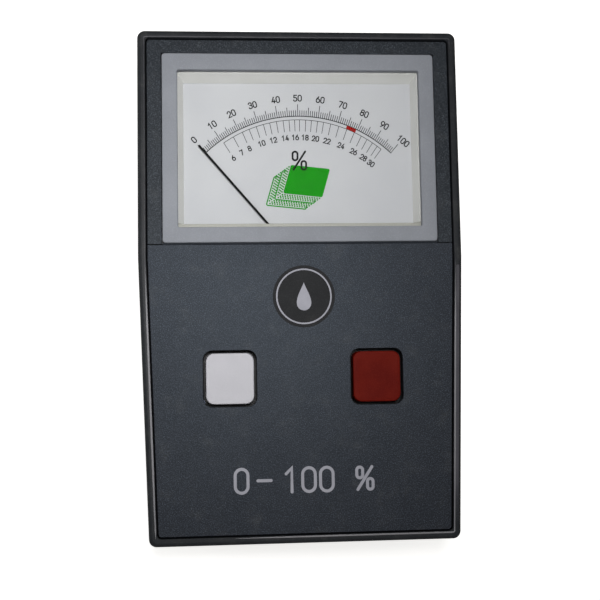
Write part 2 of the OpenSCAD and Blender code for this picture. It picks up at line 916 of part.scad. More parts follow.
module bridge_screws() {
    color([0.6, 0.6, 0.62])
        at_pivot()
            for (sx = [-1, 1])
                translate([sx * pillar_x, 0, 0]) {
                    translate([0, 0, ring_z + ring_l - 3])
                        cylinder(r = bridge_screw_r, h = upper_bridge_z + bridge_t - ring_z - ring_l + 3);
                    translate([0, 0, upper_bridge_z + bridge_t])
                        difference() {
                            cylinder(r = 1.3, h = 0.7);
                            translate([-2, -0.2, 0.35])
                                cube([4, 0.4, 1]);
                        }
                }
}

// Jewel screw with a cup for the staff's point, opening towards +Z
module jewel_screw() {
    difference() {
        cylinder(r = jewel_r, h = jewel_l);
        translate([0, 0, jewel_l - jewel_cup])
            cylinder(r = staff_r + jewel_gap, h = jewel_cup + cut);
        translate([-2, -0.2, -cut])
            cube([4, 0.4, cut + 0.5]);
    }
}

module jewel_screws() {
    color([0.8, 0.68, 0.36])
        at_pivot() {
            translate([0, 0, lower_jewel_z])
                jewel_screw();
            translate([0, 0, upper_jewel_low + jewel_l])
                mirror([0, 0, 1])
                    jewel_screw();
        }
}

// Slotted arm under the upper bridge that holds the outer end of the upper hairspring
module zero_arm() {
    color([0.72, 0.6, 0.32])
        at_pivot(arm_z)
            difference() {
                union() {
                    cylinder(r = jewel_r + 1, h = arm_t);
                    translate([-0.9, -spring_r - 1.2, 0])
                        cube([1.8, spring_r + 1.2, arm_t]);
                    translate([-0.5, -spring_r - 0.7, -spring_h])
                        cube([1, 0.6, spring_h + arm_t]);
                }
                translate([0, 0, -cut])
                    cylinder(r = jewel_r, h = arm_t + 2 * cut);
            }
}

// Pins under the upper bridge that stop the pointer just past each end of the scale
module pointer_stops() {
    stop_side = asin((pointer_w / 2 + stop_pin_r) / stop_r);
    color([0.6, 0.6, 0.62])
        at_pivot(pointer_z - 0.4)
            for (sx = [-1, 1])
                rotate([0, 0, sx * (pointer_half_angle + stop_angle + stop_side)])
                    translate([0, stop_r, 0])
                        cylinder(r = stop_pin_r, h = upper_bridge_z - pointer_z + 0.4);
}

// Flat spiral strip from radius a to radius b, ending on the -Y side
module hairspring(a, b) {
    steps = 24 * hairspring_turns;
    function on(i, side) =
        let (r = a + (b - a) * i / steps + side * spring_strip / 2, t = 15 * i - 90)
            [r * cos(t), r * sin(t)];
    linear_extrude(spring_h)
        polygon([each [for (i = [0:steps]) on(i, 1)], each [for (i = [steps:-1:0]) on(i, -1)]]);
}

module hairsprings() {
    color([0.7, 0.55, 0.3])
        at_pivot() {
            translate([0, 0, upper_spring_z])
                hairspring(collet_r + 0.1, spring_r);
            translate([0, 0, lower_spring_z])
                hairspring(collet_r + 0.1, spring_r);
        }
}

// Pointer with its hub, tail and two short balance arms
module pointer() {
    color([0.05, 0.05, 0.05])
        at_pivot(pointer_z)
            rotate([0, 0, rest_turn])
                difference() {
                    union() {
                        cylinder(r = hub_r, h = pointer_t);
                        linear_extrude(pointer_t)
                            polygon([
                                [-hub_r / 2, 0], [-pointer_w / 2, stop_r - 2], [-pointer_w / 2, pointer_l - 1],
                                [0, pointer_l], [pointer_w / 2, pointer_l - 1], [pointer_w / 2, stop_r - 2],
                                [hub_r / 2, 0]
                            ]);
                        translate([-tail_w / 2, -tail_l, 0])
                            cube([tail_w, tail_l, pointer_t]);
                        translate([-arm_l, -arm_w / 2, 0])
                            cube([2 * arm_l, arm_w, pointer_t]);
                    }
                    translate([0, 0, -cut])
                        cylinder(r = staff_r, h = pointer_t + 2 * cut);
                }
}

// Brass weights under the tail and the two short arms
module balance_weights() {
    color([0.72, 0.6, 0.32])
        at_pivot(pointer_z - weight_h)
            rotate([0, 0, rest_turn])
                for (p = [[0, 1.5 * weight_r - tail_l, 1.5], [weight_r - arm_l, 0, 1], [arm_l - weight_r, 0, 1]])
                    translate([p[0], p[1], 0])
                        cylinder(r = p[2] * weight_r, h = weight_h);
}

// Steel half staffs above and below the coil, each ending in a fine point, with the spring collets
module pointer_staff() {
    color([0.75, 0.75, 0.78])
        at_pivot() {
            translate([0, 0, coil_top])
                cylinder(r = staff_r, h = upper_jewel_low + point_in - coil_top);
            translate([0, 0, upper_jewel_low + point_in])
                cylinder(r1 = staff_r, r2 = 0.1, h = point_l);
            translate([0, 0, lower_jewel_z + jewel_l - point_in])
                cylinder(r = staff_r, h = coil_low - lower_jewel_z - jewel_l + point_in);
            translate([0, 0, lower_jewel_z + jewel_l - point_in - point_l])
                cylinder(r1 = 0.1, r2 = staff_r, h = point_l);
            translate([0, 0, pointer_z + pointer_t])
                cylinder(r = collet_r, h = upper_spring_z + spring_h - pointer_z - pointer_t - 0.05);
            translate([0, 0, lower_spring_z])
                cylinder(r = collet_r, h = coil_low - lower_spring_z);
        }
}

// Rectangular ring round the core, in the plane of the pointer's cross line
module coil_ring(inner, outer, gap_low, gap_high) {
    difference() {
        translate([-outer, -coil_t / 2, coil_low + gap_low])
            cube([2 * outer, coil_t, coil_top - coil_low - 2 * gap_low]);
        translate([-inner, -coil_t, coil_low + gap_high])
            cube([2 * inner, 2 * coil_t, coil_top - coil_low - 2 * gap_high]);
    }
}

module coil_former() {
    color([0.78, 0.78, 0.8])
        at_pivot()
            rotate([0, 0, rest_turn])
                coil_ring(coil_in, coil_in + former_t, winding_t, end_wall);
}

module coil_winding() {
    color([0.65, 0.3, 0.12])
        at_pivot()
            rotate([0, 0, rest_turn])
                coil_ring(coil_in + former_t, coil_out, 0, winding_t);
}

// Button cap with a hollow skirt and a square stem that runs into its switch
module button_cap() {
    difference() {
        union() {
            round_block(cap_w, cap_l, cap_r, cap_low, cap_h - cap_edge);
            hull() {
                round_block(cap_w, cap_l, cap_r, cap_top - cap_edge - slab_t, slab_t);
                round_block(cap_w - 2 * cap_edge, cap_l - 2 * cap_edge, cap_r - cap_edge, cap_top - slab_t, slab_t);
            }
        }
        round_block(cap_w - 2 * cap_wall, cap_l - 2 * cap_wall, cap_r / 2, cap_low - cut, cap_h - cap_wall + cut);
    }
    translate([-stem_w / 2, -stem_w / 2, stem_low])
        cube([stem_w, stem_w, cap_top - cap_wall - stem_low]);
}

module white_button() {
    color([0.82, 0.82, 0.84])
        translate([-button_x, button_y, 0])
            button_cap();
}

module red_button() {
    color([0.4, 0.09, 0.07])
        translate([button_x, button_y, 0])
            button_cap();
}

// Switch body with a square well for the stem
module switch_body() {
    difference() {
        translate([-switch_w / 2, -switch_w / 2, board_top])
            cube([switch_w, switch_w, switch_top - board_top]);
        translate([-stem_w / 2 - stem_gap, -stem_w / 2 - stem_gap, stem_well])
            cube([stem_w + 2 * stem_gap, stem_w + 2 * stem_gap, case_h]);
    }
}

module white_switch() {
    color([0.12, 0.12, 0.13])
        translate([-button_x, button_y, 0])
            switch_body();
}

module red_switch() {
    color([0.12, 0.12, 0.13])
        translate([button_x, button_y, 0])
            switch_body();
}

function unit(v) = v / norm(v);

// Direction of a path at point i, halfway between its two stretches
function heading(path, i) =
    unit(path[min(i + 1, len(path) - 1)] - path[max(i - 1, 0)]);

// Solid tube of radius r along a path of points
module tube(path, r, sides) {
    aside = [0.3, 0.5, 0.8];
    points = [
        for (i = [0:len(path) - 1], j = [0:sides - 1])
            let (d = heading(path, i), u = unit(cross(d, aside)), v = cross(u, d), b = 360 * j / sides)
                path[i] + r * cos(b) * u + r * sin(b) * v
    ];
    walls = [
        for (i = [0:len(path) - 2], j = [0:sides - 1])
            let (k = (j + 1) % sides, a = i * sides, b = a + sides)
                each [[a + j, a + k, b + k], [a + j, b + k, b + j]]
    ];
    first = [for (j = [0:sides - 1]) sides - 1 - j];
    last = [for (j = [0:sides - 1]) (len(path) - 1) * sides + j];
    polyhedron(points, concat([first], walls, [last]));
}

// Coil spring round a button's stem, between its switch and its cap
module button_spring() {
    low = switch_top + spring_wire / 2;
    high = cap_top - cap_wall - 0.1 - spring_wire / 2;
    steps = 14 * spring_coils;
    tube([
        for (i = [0:steps])
            let (a = 360 * i * spring_coils / steps)
                [spring_coil_r * cos(a), spring_coil_r * sin(a), low + (high - low) * i / steps]
    ], spring_wire / 2, 6);
}

module white_spring() {
    color([0.7, 0.7, 0.72])
        translate([-button_x, button_y, 0])
            button_spring();
}

module red_spring() {
    color([0.7, 0.7, 0.72])
        translate([button_x, button_y, 0])
            button_spring();
}

// Circuit board, drawn in between the lower case screws
module circuit_board() {
    color([0.1, 0.35, 0.2])
        translate([0, 0, board_z])
            linear_extrude(board_t)
                difference() {
                    union() {
                        intersection() {
                            plan(wall + board_gap, 1);
                            translate([-half_w, board_neck_y])
                                square([case_w, board_high_y - board_neck_y]);
                        }
                        translate([-board_low_w / 2, board_low_y])
                            square([board_low_w, board_high_y - board_low_y]);
                    }
                    for (p = board_screw_places())
                        translate([p[0], p[1]])
                            circle(r = 1.2);
                }
}

module board_screws() {
    color([0.6, 0.6, 0.62])
        for (p = board_screw_places())
            translate([p[0], p[1], board_top])
                difference() {
                    union() {
                        cylinder(r = 1.9, h = 1.2);
                        translate([0, 0, -board_t - board_screw_l])
                            cylinder(r = board_screw_r, h = board_t + board_screw_l);
                    }
                    for (a = [0, 90])
                        rotate([0, 0, a])
                            translate([-1.1, -0.2, 0.6])
                                cube([2.2, 0.4, cut]);
                }
}

// Two moulded amplifier chips with their rows of legs
module board_chips() {
    color([0.1, 0.1, 0.11])
        for (x = [-6, 6])
            translate([x, board_high_y - 9, board_top]) {
                translate([-3.2, -4.8, 0.5])
                    cube([6.4, 9.6, 3]);
                for (sx = [-1, 1], i = [-1.5:1.5])
                    translate([sx * 3.6 - 0.4, 2.54 * i - 0.3, 0])
                        cube([0.8, 0.6, 1.6]);
            }
}

// Upright capacitors, each with its place, radius and share of the greatest height
module board_capacitors() {
    greatest_h = front_low - board_top - capacitor_gap;
    side = half_w - 14;
    color([0.15, 0.2, 0.45])
        for (p = [[-side, -34, 4, 1], [-side, -46, 3.2, 0.8], [0, -50, 3.2, 0.8], [side, -20, 2.5, 0.7]])
            translate([p[0], p[1], board_top])
                cylinder(r = p[2], h = p[3] * greatest_h);
}

module board_resistors() {
    color([0.72, 0.6, 0.42])
        for (i = [0:5])
            translate([(i - 2.5) * resistor_pitch, resistor_y, board_top + resistor_r])
                rotate([90, 0, 0]) {
                    translate([0, 0, -resistor_l / 2])
                        cylinder(r = resistor_r, h = resistor_l);
                    translate([0, 0, -0.75 * resistor_l])
                        cylinder(r = 0.35, h = 1.5 * resistor_l);
                    for (z = [-0.75 * resistor_l, 0.75 * resistor_l - leg_w])
                        translate([-leg_w / 2, -resistor_r, z])
                            cube([leg_w, resistor_r, leg_w]);
                }
}

// Small setting potentiometers with a slotted rotor
module trimmers() {
    color([0.15, 0.3, 0.6])
        for (sx = [-1, 1])
            translate([sx * trimmer_x, trimmer_y, board_top])
                difference() {
                    union() {
                        translate([-trimmer_w / 2, -trimmer_w / 2, 0])
                            cube([trimmer_w, trimmer_w, trimmer_h]);
                        translate([0, 0, trimmer_h])
                            cylinder(r = 2, h = 0.8);
                    }
                    translate([-1.6, -0.3, 3.9])
                        cube([3.2, 0.6, cut]);
                }
}

module wheel_potentiometer() {
    color([0.15, 0.15, 0.16])
        translate([wheel_x, wheel_y, board_top])
            difference() {
                cylinder(r = pot_r, h = pot_h);
                translate([0, 0, -cut])
                    cylinder(r = wheel_shaft_r + shaft_gap, h = pot_h + 2 * cut);
            }
}

// Adjusting wheel with a grooved rim and a short shaft into its potentiometer
module adjusting_wheel() {
    color([0.1, 0.1, 0.11])
        translate([wheel_x, wheel_y, 0]) {
            translate([0, 0, wheel_z])
                linear_extrude(wheel_t)
                    polygon([
                        for (i = [0:wheel_grooves - 1], k = [0:3])
                            let (a = 360 * (i + [0, 0.2, 0.5, 0.7][k]) / wheel_grooves,
                                 r = wheel_r - (k < 2 ? 0.5 : 0))
                                [r * cos(a), r * sin(a)]
                    ]);
            translate([0, 0, board_top + 0.2])
                cylinder(r = wheel_shaft_r, h = wheel_z - board_top - 0.2);
        }
}

module socket_sleeves() {
    color([0.8, 0.68, 0.36])
        at_sockets()
            difference() {
                union() {
                    translate([0, 0, -flange_t])
                        cylinder(r = sleeve_r, h = socket_depth + flange_t + socket_end_t);
                    translate([0, 0, socket_depth + socket_end_t])
                        cylinder(r = 1.2, h = socket_tail_l);
                }
                translate([0, 0, -flange_t - cut])
                    cylinder(r = socket_r, h = socket_depth + flange_t + cut);
            }
}

module socket_insulators() {
    color([0.08, 0.08, 0.09])
        at_sockets()
            difference() {
                union() {
                    translate([0, 0, -flange_t])
                        cylinder(r = flange_r, h = flange_t);
                    cylinder(r = insulator_r, h = insulator_l);
                }
                translate([0, 0, -flange_t - cut])
                    cylinder(r = sleeve_r, h = insulator_l + flange_t + 2 * cut);
            }
}

module socket_nuts() {
    color([0.72, 0.72, 0.74])
        at_sockets()
            translate([0, 0, nut_seat])
                difference() {
                    cylinder(r = nut_r, h = nut_t, $fn = 6);
                    translate([0, 0, -cut])
                        cylinder(r = insulator_r, h = nut_t + 2 * cut);
                }
}

module battery() {
    color([0.2, 0.2, 0.22])
        translate([battery_x + battery_l / 2, battery_y, 0])
            round_block(battery_l, battery_w, 2.5, battery_z, battery_h);
}

// Places of the battery's two snaps, seen along the battery
module at_snap(side) {
    translate([battery_x + battery_l, battery_y + side * snap_pitch / 2, battery_z + battery_h / 2])
        rotate([0, 90, 0])
            children();
}

module snap_stud(h) {
    cylinder(r = snap_r, h = h);
}

module snap_ring_wall(h) {
    difference() {
        cylinder(r = snap_r + snap_gap + snap_ring, h = h);
        translate([0, 0, -cut])
            cylinder(r = snap_r + snap_gap, h = h + 2 * cut);
    }
}

module battery_snaps() {
    color([0.78, 0.78, 0.8]) {
        at_snap(1)
            snap_stud(snap_h - 0.2);
        at_snap(-1)
            snap_ring_wall(snap_h - 0.2);
    }
}

// Snap plate that carries the mating stud and ring
module battery_connector() {
    color([0.1, 0.1, 0.11]) {
        translate([connector_x, battery_y - battery_w / 2 + 0.4, battery_z + (battery_h - connector_h) / 2])
            cube([connector_t, battery_w - 0.8, connector_h]);
        at_snap(-1)
            translate([0, 0, 0.2])
                snap_stud(snap_h);
        at_snap(1)
            translate([0, 0, 0.2])
                snap_ring_wall(snap_h);
    }
}

module foam_pad() {
    color([0.25, 0.25, 0.27])
        translate([battery_x + 4, battery_y - battery_w / 2 + 3, bay_roof - foam_t])
            cube([battery_l - 8, battery_w - 6, foam_t]);
}

// Point a set distance along the way from p to q
function towards(p, q, d) = p + unit(q - p) * min(d, norm(q - p) / 2);

// Insulated wire along a list of points, with its corners rounded
module lead(points) {
    last = len(points) - 1;
    tube([
        points[0],
        for (i = [1:last - 1])
            let (p = points[i], a = towards(p, points[i - 1], lead_bend), b = towards(p, points[i + 1], lead_bend))
                each [a, (a + 2 * p + b) / 4, b],
        points[last]
    ], lead_r, 8);
}

module sensor_leads() {
    color([0.6, 0.1, 0.1])
        for (sx = [-1, 1])
            lead([
                [sx * socket_pitch / 2, socket_tail_y, socket_z],
                [sx * socket_pitch / 2, socket_tail_y - 8, socket_z],
                [sx * sensor_lead_x, well_top_y, socket_z],
                [sx * sensor_lead_x, board_high_y - 3, socket_z],
                [sx * sensor_lead_x, board_high_y - 3, board_z]
            ]);
}

module battery_leads() {
    rise_x = bay_w / 2 + bay_wall + 3;
    run_z = lead_slot_z + lead_slot_h / 2;
    color([0.12, 0.12, 0.13])
        for (y = [1.2, 3.4])
            lead([
                [connector_x + connector_t, bay_y + lead_slot_y + y, run_z],
                [rise_x, bay_y + lead_slot_y + y, run_z],
                [rise_x, bay_y + lead_slot_y + y, board_z]
            ]);
}

module meter_leads() {
    run_z = well_z - terminal_drop - 1;
    color([0.15, 0.35, 0.15])
        for (sx = [-1, 1])
            lead([
                [sx * terminal_x, terminal_y, well_z - terminal_drop],
                [sx * terminal_x, terminal_y, run_z],
                [sx * terminal_x, tub_low_y - 5, run_z],
                [sx * terminal_x, tub_low_y - 5, board_z]
            ]);
}

upper_shell();
lower_shell();
case_screws();
meter_surround();
front_plate();
meter_bezel();
window_pane();
dial_frame();
dial_plate();
dial_screws();
meter_housing();
iron_ring();
core_magnet();
core_webs();
lower_bridge();
upper_bridge();
bridge_screws();
jewel_screws();
zero_arm();
pointer_stops();
hairsprings();
meter_terminals();
pointer();
pointer_staff();
coil_former();
coil_winding();
balance_weights();
white_button();
red_button();
white_spring();
red_spring();
white_switch();
red_switch();
circuit_board();
board_screws();
board_chips();
board_capacitors();
board_resistors();
trimmers();
wheel_potentiometer();
adjusting_wheel();
socket_sleeves();
socket_insulators();
socket_nuts();
battery();
battery_snaps();
battery_connector();
foam_pad();
battery_door();
sensor_leads();
battery_leads();
meter_leads();
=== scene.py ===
import bmesh
import bpy
import numpy as np
from mathutils import Matrix, Vector


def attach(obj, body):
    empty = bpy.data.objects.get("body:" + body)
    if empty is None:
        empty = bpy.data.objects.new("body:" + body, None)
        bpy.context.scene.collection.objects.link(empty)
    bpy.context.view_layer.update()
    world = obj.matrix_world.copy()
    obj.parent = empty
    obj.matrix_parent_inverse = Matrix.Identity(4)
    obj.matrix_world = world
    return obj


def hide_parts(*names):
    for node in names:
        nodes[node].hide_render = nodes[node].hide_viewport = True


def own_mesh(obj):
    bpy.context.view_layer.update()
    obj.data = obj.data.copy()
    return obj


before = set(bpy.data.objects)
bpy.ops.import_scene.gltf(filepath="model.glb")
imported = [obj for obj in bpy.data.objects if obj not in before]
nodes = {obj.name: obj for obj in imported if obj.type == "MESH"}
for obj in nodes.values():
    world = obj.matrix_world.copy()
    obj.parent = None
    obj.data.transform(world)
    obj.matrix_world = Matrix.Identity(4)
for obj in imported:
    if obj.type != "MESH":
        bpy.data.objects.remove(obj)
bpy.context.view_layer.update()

# Lengths are in millimetres and become metres where a mesh is filled. X is right, Y is towards
# the meter end and Z is out of the face, as in the frame.
MM = 0.001

# The case and its face: half the width and length, how far the sides turn in below a height in Y,
# the tops of the rim, the plates and their seats, and the rim's width
HALF_W, HALF_L, END_TAPER, TAPER_Y = 45.0, 71.0, 2.7, 7.0
RIM_Z, FACE_Z, FRONT_Z = 42.0, 41.4, 40.2
RIM_W, SIDE_BEND_R = 2.2, 4.0
FRONT_PLATE_END = 10.6

# The window frame, its opening, the pane's pocket and the skirt: width, length, middle in Y and
# corner radius
BEZEL = (76.4, 53.3, 37.75, 0.9)
WINDOW = (67.9, 44.3, 37.55, 0.5)
POCKET = (70.1, 46.5, 37.55, 0.5)
SKIRT = (72.9, 49.3, 37.55, 1.0)
PANE_LOW = 38.7

# The dial's face, the needle's pivot, its angle at rest, its length, and its underside and top
DIAL_Z = 35.4
PIVOT = np.array([0.0, 6.4])
REST_ANGLE, NEEDLE_TIP, NEEDLE_Z = -40.5, 43.5, (36.5, 36.85)

# A print's thickness, and how far a print or strip sinks into what it lies on
INK_T, TOUCH = 0.03, 0.02

# The two buttons with their springs and switches
CAP_W, CAP_L, CAP_R, CAP_LOW, CAP_WALL, STEM_W = 13.05, 13.85, 1.7, 36.8, 1.2, 5.0
BUTTON_X, BUTTON_Y, STEM_LOW, BUTTON_TRAVEL = 20.2, -26.3, 32.4, 2.0
SWITCH_TOP, BOARD_TOP = 34.2, 25.2
SPRING_R, SPRING_WIRE, SPRING_TURNS = 4.036, 0.5, 3
SPRING_TOP = FACE_Z - CAP_WALL - 0.1
COLLAR_W, WIDE_COLLAR_W = 15.0, 16.6

# Every finish by its name, filled under Materials
finishes = {}

# Points closer than this are one point, as a share of a drawing's unit and as metres in a mesh
SAME_POINT, SAME_VERTEX_M = 1e-6, 1e-6


# Camera

# Seen from above the lower left part of the face, turned by a few degrees about each axis
TILT = (-4.593, 4.123, 1.012)
EYE = (-19.48, -26.00, 301.92)
FOCAL_PX, FRAME_PX = 950.0, 600.0

camera_data = bpy.data.cameras.new("camera")
camera_data.sensor_fit = "HORIZONTAL"
camera_data.sensor_width = 36.0
camera_data.lens = FOCAL_PX / FRAME_PX * camera_data.sensor_width
camera_data.clip_start = 0.01
camera_data.clip_end = 20.0
camera = bpy.data.objects.new("camera", camera_data)
bpy.context.collection.objects.link(camera)
x_turn, y_turn, z_turn = [Matrix.Rotation(np.radians(angle), 3, axis) for angle, axis in zip(TILT, "XYZ")]
into_camera = z_turn @ x_turn @ y_turn
camera.matrix_world = Matrix.Translation(Vector(EYE) * MM) @ into_camera.transposed().to_4x4()
bpy.context.scene.camera = camera


# Shapes

def grid_faces(rows, columns, close_rows=False):
    """Quads between neighbouring rows and columns of a grid. The last column joins the first, and
    on a closed grid the last row joins the first too."""
    i = np.arange(rows if close_rows else rows - 1)[:, None]
    j = np.arange(columns)[None, :]
    i2, j2 = (i + 1) % rows, (j + 1) % columns
    corners = [i * columns + j, i * columns + j2, i2 * columns + j2, i2 * columns + j]
    return np.stack(corners, -1).reshape(-1, 4)


def unit(vectors):
    """One vector, or each of several, at length 1."""
    return vectors / np.linalg.norm(vectors, axis=-1, keepdims=True)


def rounded_box(width, length, middle_y, radius, steps=6, middle_x=0.0):
    """Outline of a rectangle with round corners: each corner is a quarter of a circle whose
    centre stands off both sides by the radius."""
    angle = np.linspace(0, np.pi / 2, steps + 1)[None, :] + np.pi / 2 * np.arange(4)[:, None]
    side = np.array([[1, 1], [-1, 1], [-1, -1], [1, -1]], float)[:, None, :]
    corner = side * (np.array([width, length]) / 2 - radius)
    arc = radius * np.stack([np.cos(angle), np.sin(angle)], -1)
    return (corner + arc).reshape(-1, 2) + np.array([middle_x, middle_y])


def at_height(outline, height):
    """The outline's points with one height, or a height each."""
    z = np.broadcast_to(height, len(outline))
    return np.column_stack([outline, z])


def loft(rings, close_rows=False, cap_ends=False):
    """Skin through rings that have the same number of points: row i of the grid is ring i. An end
    cap is one face over the first ring and one over the last."""
    verts = np.concatenate(rings)
    count = len(rings[0])
    faces = grid_faces(len(rings), count, close_rows).tolist()
    if cap_ends:
        faces.append(list(range(count))[::-1])
        faces.append(list(range(len(verts) - count, len(verts))))
    return verts, faces


def ribbon(path, width, low, high, closed=False):
    """Prism of constant width along a path. At each point the cross-section is a rectangle whose
    sides stand off the path by half the width along the mitred normal, and by no more than the
    width. An open path ends in half-circles: extra stations at half the width times the sine of
    an angle past the end, where the half-width is multiplied by the cosine."""
    p = np.asarray(path, float)
    apart = np.linalg.norm(p - np.roll(p, 1, 0), axis=1) > SAME_POINT
    p = p[apart if closed else np.append(True, apart[1:])]
    half = np.full(len(p), width / 2)
    if closed:
        ahead, behind = np.roll(p, -1, 0) - p, p - np.roll(p, 1, 0)
    else:
        turn = np.radians([75.0, 50.0, 25.0])[:, None]
        first, last = unit(p[0] - p[1]), unit(p[-1] - p[-2])
        p = np.concatenate([p[0] + first * np.sin(turn) * width / 2, p,
                            p[-1] + last * np.sin(turn[::-1]) * width / 2])
        ends = np.cos(turn[:, 0]) * width / 2
        half = np.concatenate([ends, half, ends[::-1]])
        ahead = np.diff(p, axis=0, append=2 * p[-1:] - p[-2:-1])
        behind = np.diff(p, axis=0, prepend=2 * p[:1] - p[1:2])
    ahead, behind = unit(ahead), unit(behind)
    along = unit(ahead + behind)
    reach = half / np.maximum(np.sum(along * ahead, 1), 0.5)
    side = np.column_stack([-along[:, 1], along[:, 0]]) * reach[:, None]
    left, right = p + side, p - side
    section = np.stack([at_height(left, low), at_height(right, low),
                        at_height(right, high), at_height(left, high)], 1)
    verts = section.reshape(-1, 3)
    faces = grid_faces(len(p), 4, close_rows=closed).tolist()
    if not closed:
        faces += [[3, 2, 1, 0], [len(verts) - 4 + k for k in range(4)]]
    return verts, faces


def slab(outline, low, high):
    """Flat plate: the outline lofted from the low height to the high one, both faces closed."""
    return loft([at_height(outline, low), at_height(outline, high)], cap_ends=True)


def joined(shapes):
    """One list of points and one of faces out of several shapes."""
    verts, faces, start = [], [], 0
    for points, polygons in shapes:
        verts.append(points)
        faces += [[k + start for k in face] for face in polygons]
        start += len(points)
    return np.concatenate(verts), faces


def shade(mesh, crease, merge_flats):
    """Merge the mesh's doubles, then make its flat areas single faces or turn its faces outwards.
    Only edges sharper than the crease angle in degrees stay sharp."""
    tidy = bmesh.new()
    tidy.from_mesh(mesh)
    bmesh.ops.remove_doubles(tidy, verts=tidy.verts, dist=SAME_VERTEX_M)
    if merge_flats:
        bmesh.ops.dissolve_limit(tidy, angle_limit=np.radians(0.5), verts=tidy.verts, edges=tidy.edges)
    else:
        bmesh.ops.recalc_face_normals(tidy, faces=tidy.faces)
    tidy.to_mesh(mesh)
    tidy.free()
    mesh.shade_smooth()
    mesh.set_sharp_from_angle(angle=np.radians(crease))


def piece(name, shape, finish, body="root", crease=30.0, replaces=()):
    """A shape as a named mesh in metres and in one finish, which rides on a body."""
    verts, faces = shape
    mesh = bpy.data.meshes.new(name)
    mesh.from_pydata((np.asarray(verts) * MM).tolist(), [], [list(face) for face in faces])
    shade(mesh, crease, merge_flats=False)
    obj = bpy.data.objects.new(name, mesh)
    bpy.context.collection.objects.link(obj)
    mesh.materials.append(finishes[finish])
    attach(obj, body)
    if replaces:
        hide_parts(*replaces)
    return obj


def smooth_copy(node, slot, body="root", edge=0.0):
    """The node's own mesh with its curved walls shaded round, in the slot's finish; an edge width
    gives its corners a small bevel that catches the light."""
    mesh = nodes[node].data.copy()
    mesh.name = f"{node}_skin"
    shade(mesh, 32.0, merge_flats=True)
    obj = bpy.data.objects.new(mesh.name, mesh)
    bpy.context.collection.objects.link(obj)
    mesh.materials.clear()
    mesh.materials.append(finishes[slot])
    if edge:
        bevel = obj.modifiers.new("edge", "BEVEL")
        bevel.width = edge * MM
        bevel.segments = 2
        bevel.limit_method = "ANGLE"
        bevel.angle_limit = np.radians(35)
        bevel.harden_normals = True
    weigh = obj.modifiers.new("face_weight", "WEIGHTED_NORMAL")
    weigh.keep_sharp = True
    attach(obj, body)
    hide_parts(node)


# Node groups

def put(tree, kind, values=(), **settings):
    """Place one shader node, set its properties, and fill or link its inputs."""
    node = tree.nodes.new("ShaderNode" + kind)
    for name, value in settings.items():
        setattr(node, name, value)
    for key, value in dict(values).items():
        if isinstance(value, bpy.types.NodeSocket):
            tree.links.new(value, node.inputs[key])
        else:
            node.inputs[key].default_value = value
    return node


def new_group(name, inputs, outputs):
    """An empty shader group with float inputs and outputs of the given names."""
    group = bpy.data.node_groups.new(name, "ShaderNodeTree")
    for label, value in inputs:
        socket = group.interface.new_socket(label, in_out="INPUT", socket_type="NodeSocketFloat")
        socket.default_value = value
    for label in outputs:
        group.interface.new_socket(label, in_out="OUTPUT", socket_type="NodeSocketFloat")
    return group, group.nodes.new("NodeGroupInput").outputs, group.nodes.new("NodeGroupOutput")


def maths(tree, operation, *values):
    """Result of one arithmetic node on numbers or sockets."""
    return put(tree, "Math", dict(enumerate(values)), operation=operation).outputs[0]


def scaled(tree, value, factor, offset=0.0):
    """The value times a factor plus an offset."""
    return maths(tree, "MULTIPLY_ADD", value, factor, offset)


def step_mask(tree, value, low, high):
    """0 below the low value, 1 above the high one, and smooth between them."""
    settings = {"interpolation_type": "SMOOTHSTEP"}
    return put(tree, "MapRange", {0: value, 1: low, 2: high}, **settings).outputs[0]


def own_place(tree):
    """Object coordinates, which on these pieces are metres in the frame."""
    return put(tree, "TexCoord").outputs["Object"]


def noise(tree, place, scale, detail=2.0, rough=0.5):
    """Value of a noise pattern at a place."""
    values = {"Vector": place, "Scale": scale, "Detail": detail, "Roughness": rough}
    return put(tree, "TexNoise", values).outputs[0]


def make_grain():
    """Moulded or rolled grain: fine height noise, pale specks where another fine noise peaks, and a
    broad mottle. The size is the grain's in millimetres."""
    group, given, result = new_group("moulded_grain", [("Size", 0.5), ("Mottle Size", 9.0)],
                                     ["Height", "Specks", "Mottle"])
    place = own_place(group)
    fine = maths(group, "DIVIDE", 1 / MM, given["Size"])
    broad = maths(group, "DIVIDE", 1 / MM, given["Mottle Size"])
    speck = noise(group, place, maths(group, "MULTIPLY", fine, 1.37), 1.0)
    mottle = noise(group, place, broad, 3.0, 0.6)
    group.links.new(noise(group, place, fine, 2.0, 0.55), result.inputs["Height"])
    group.links.new(step_mask(group, speck, 0.5, 0.72), result.inputs["Specks"])
    group.links.new(step_mask(group, mottle, 0.3, 0.7), result.inputs["Mottle"])
    return group


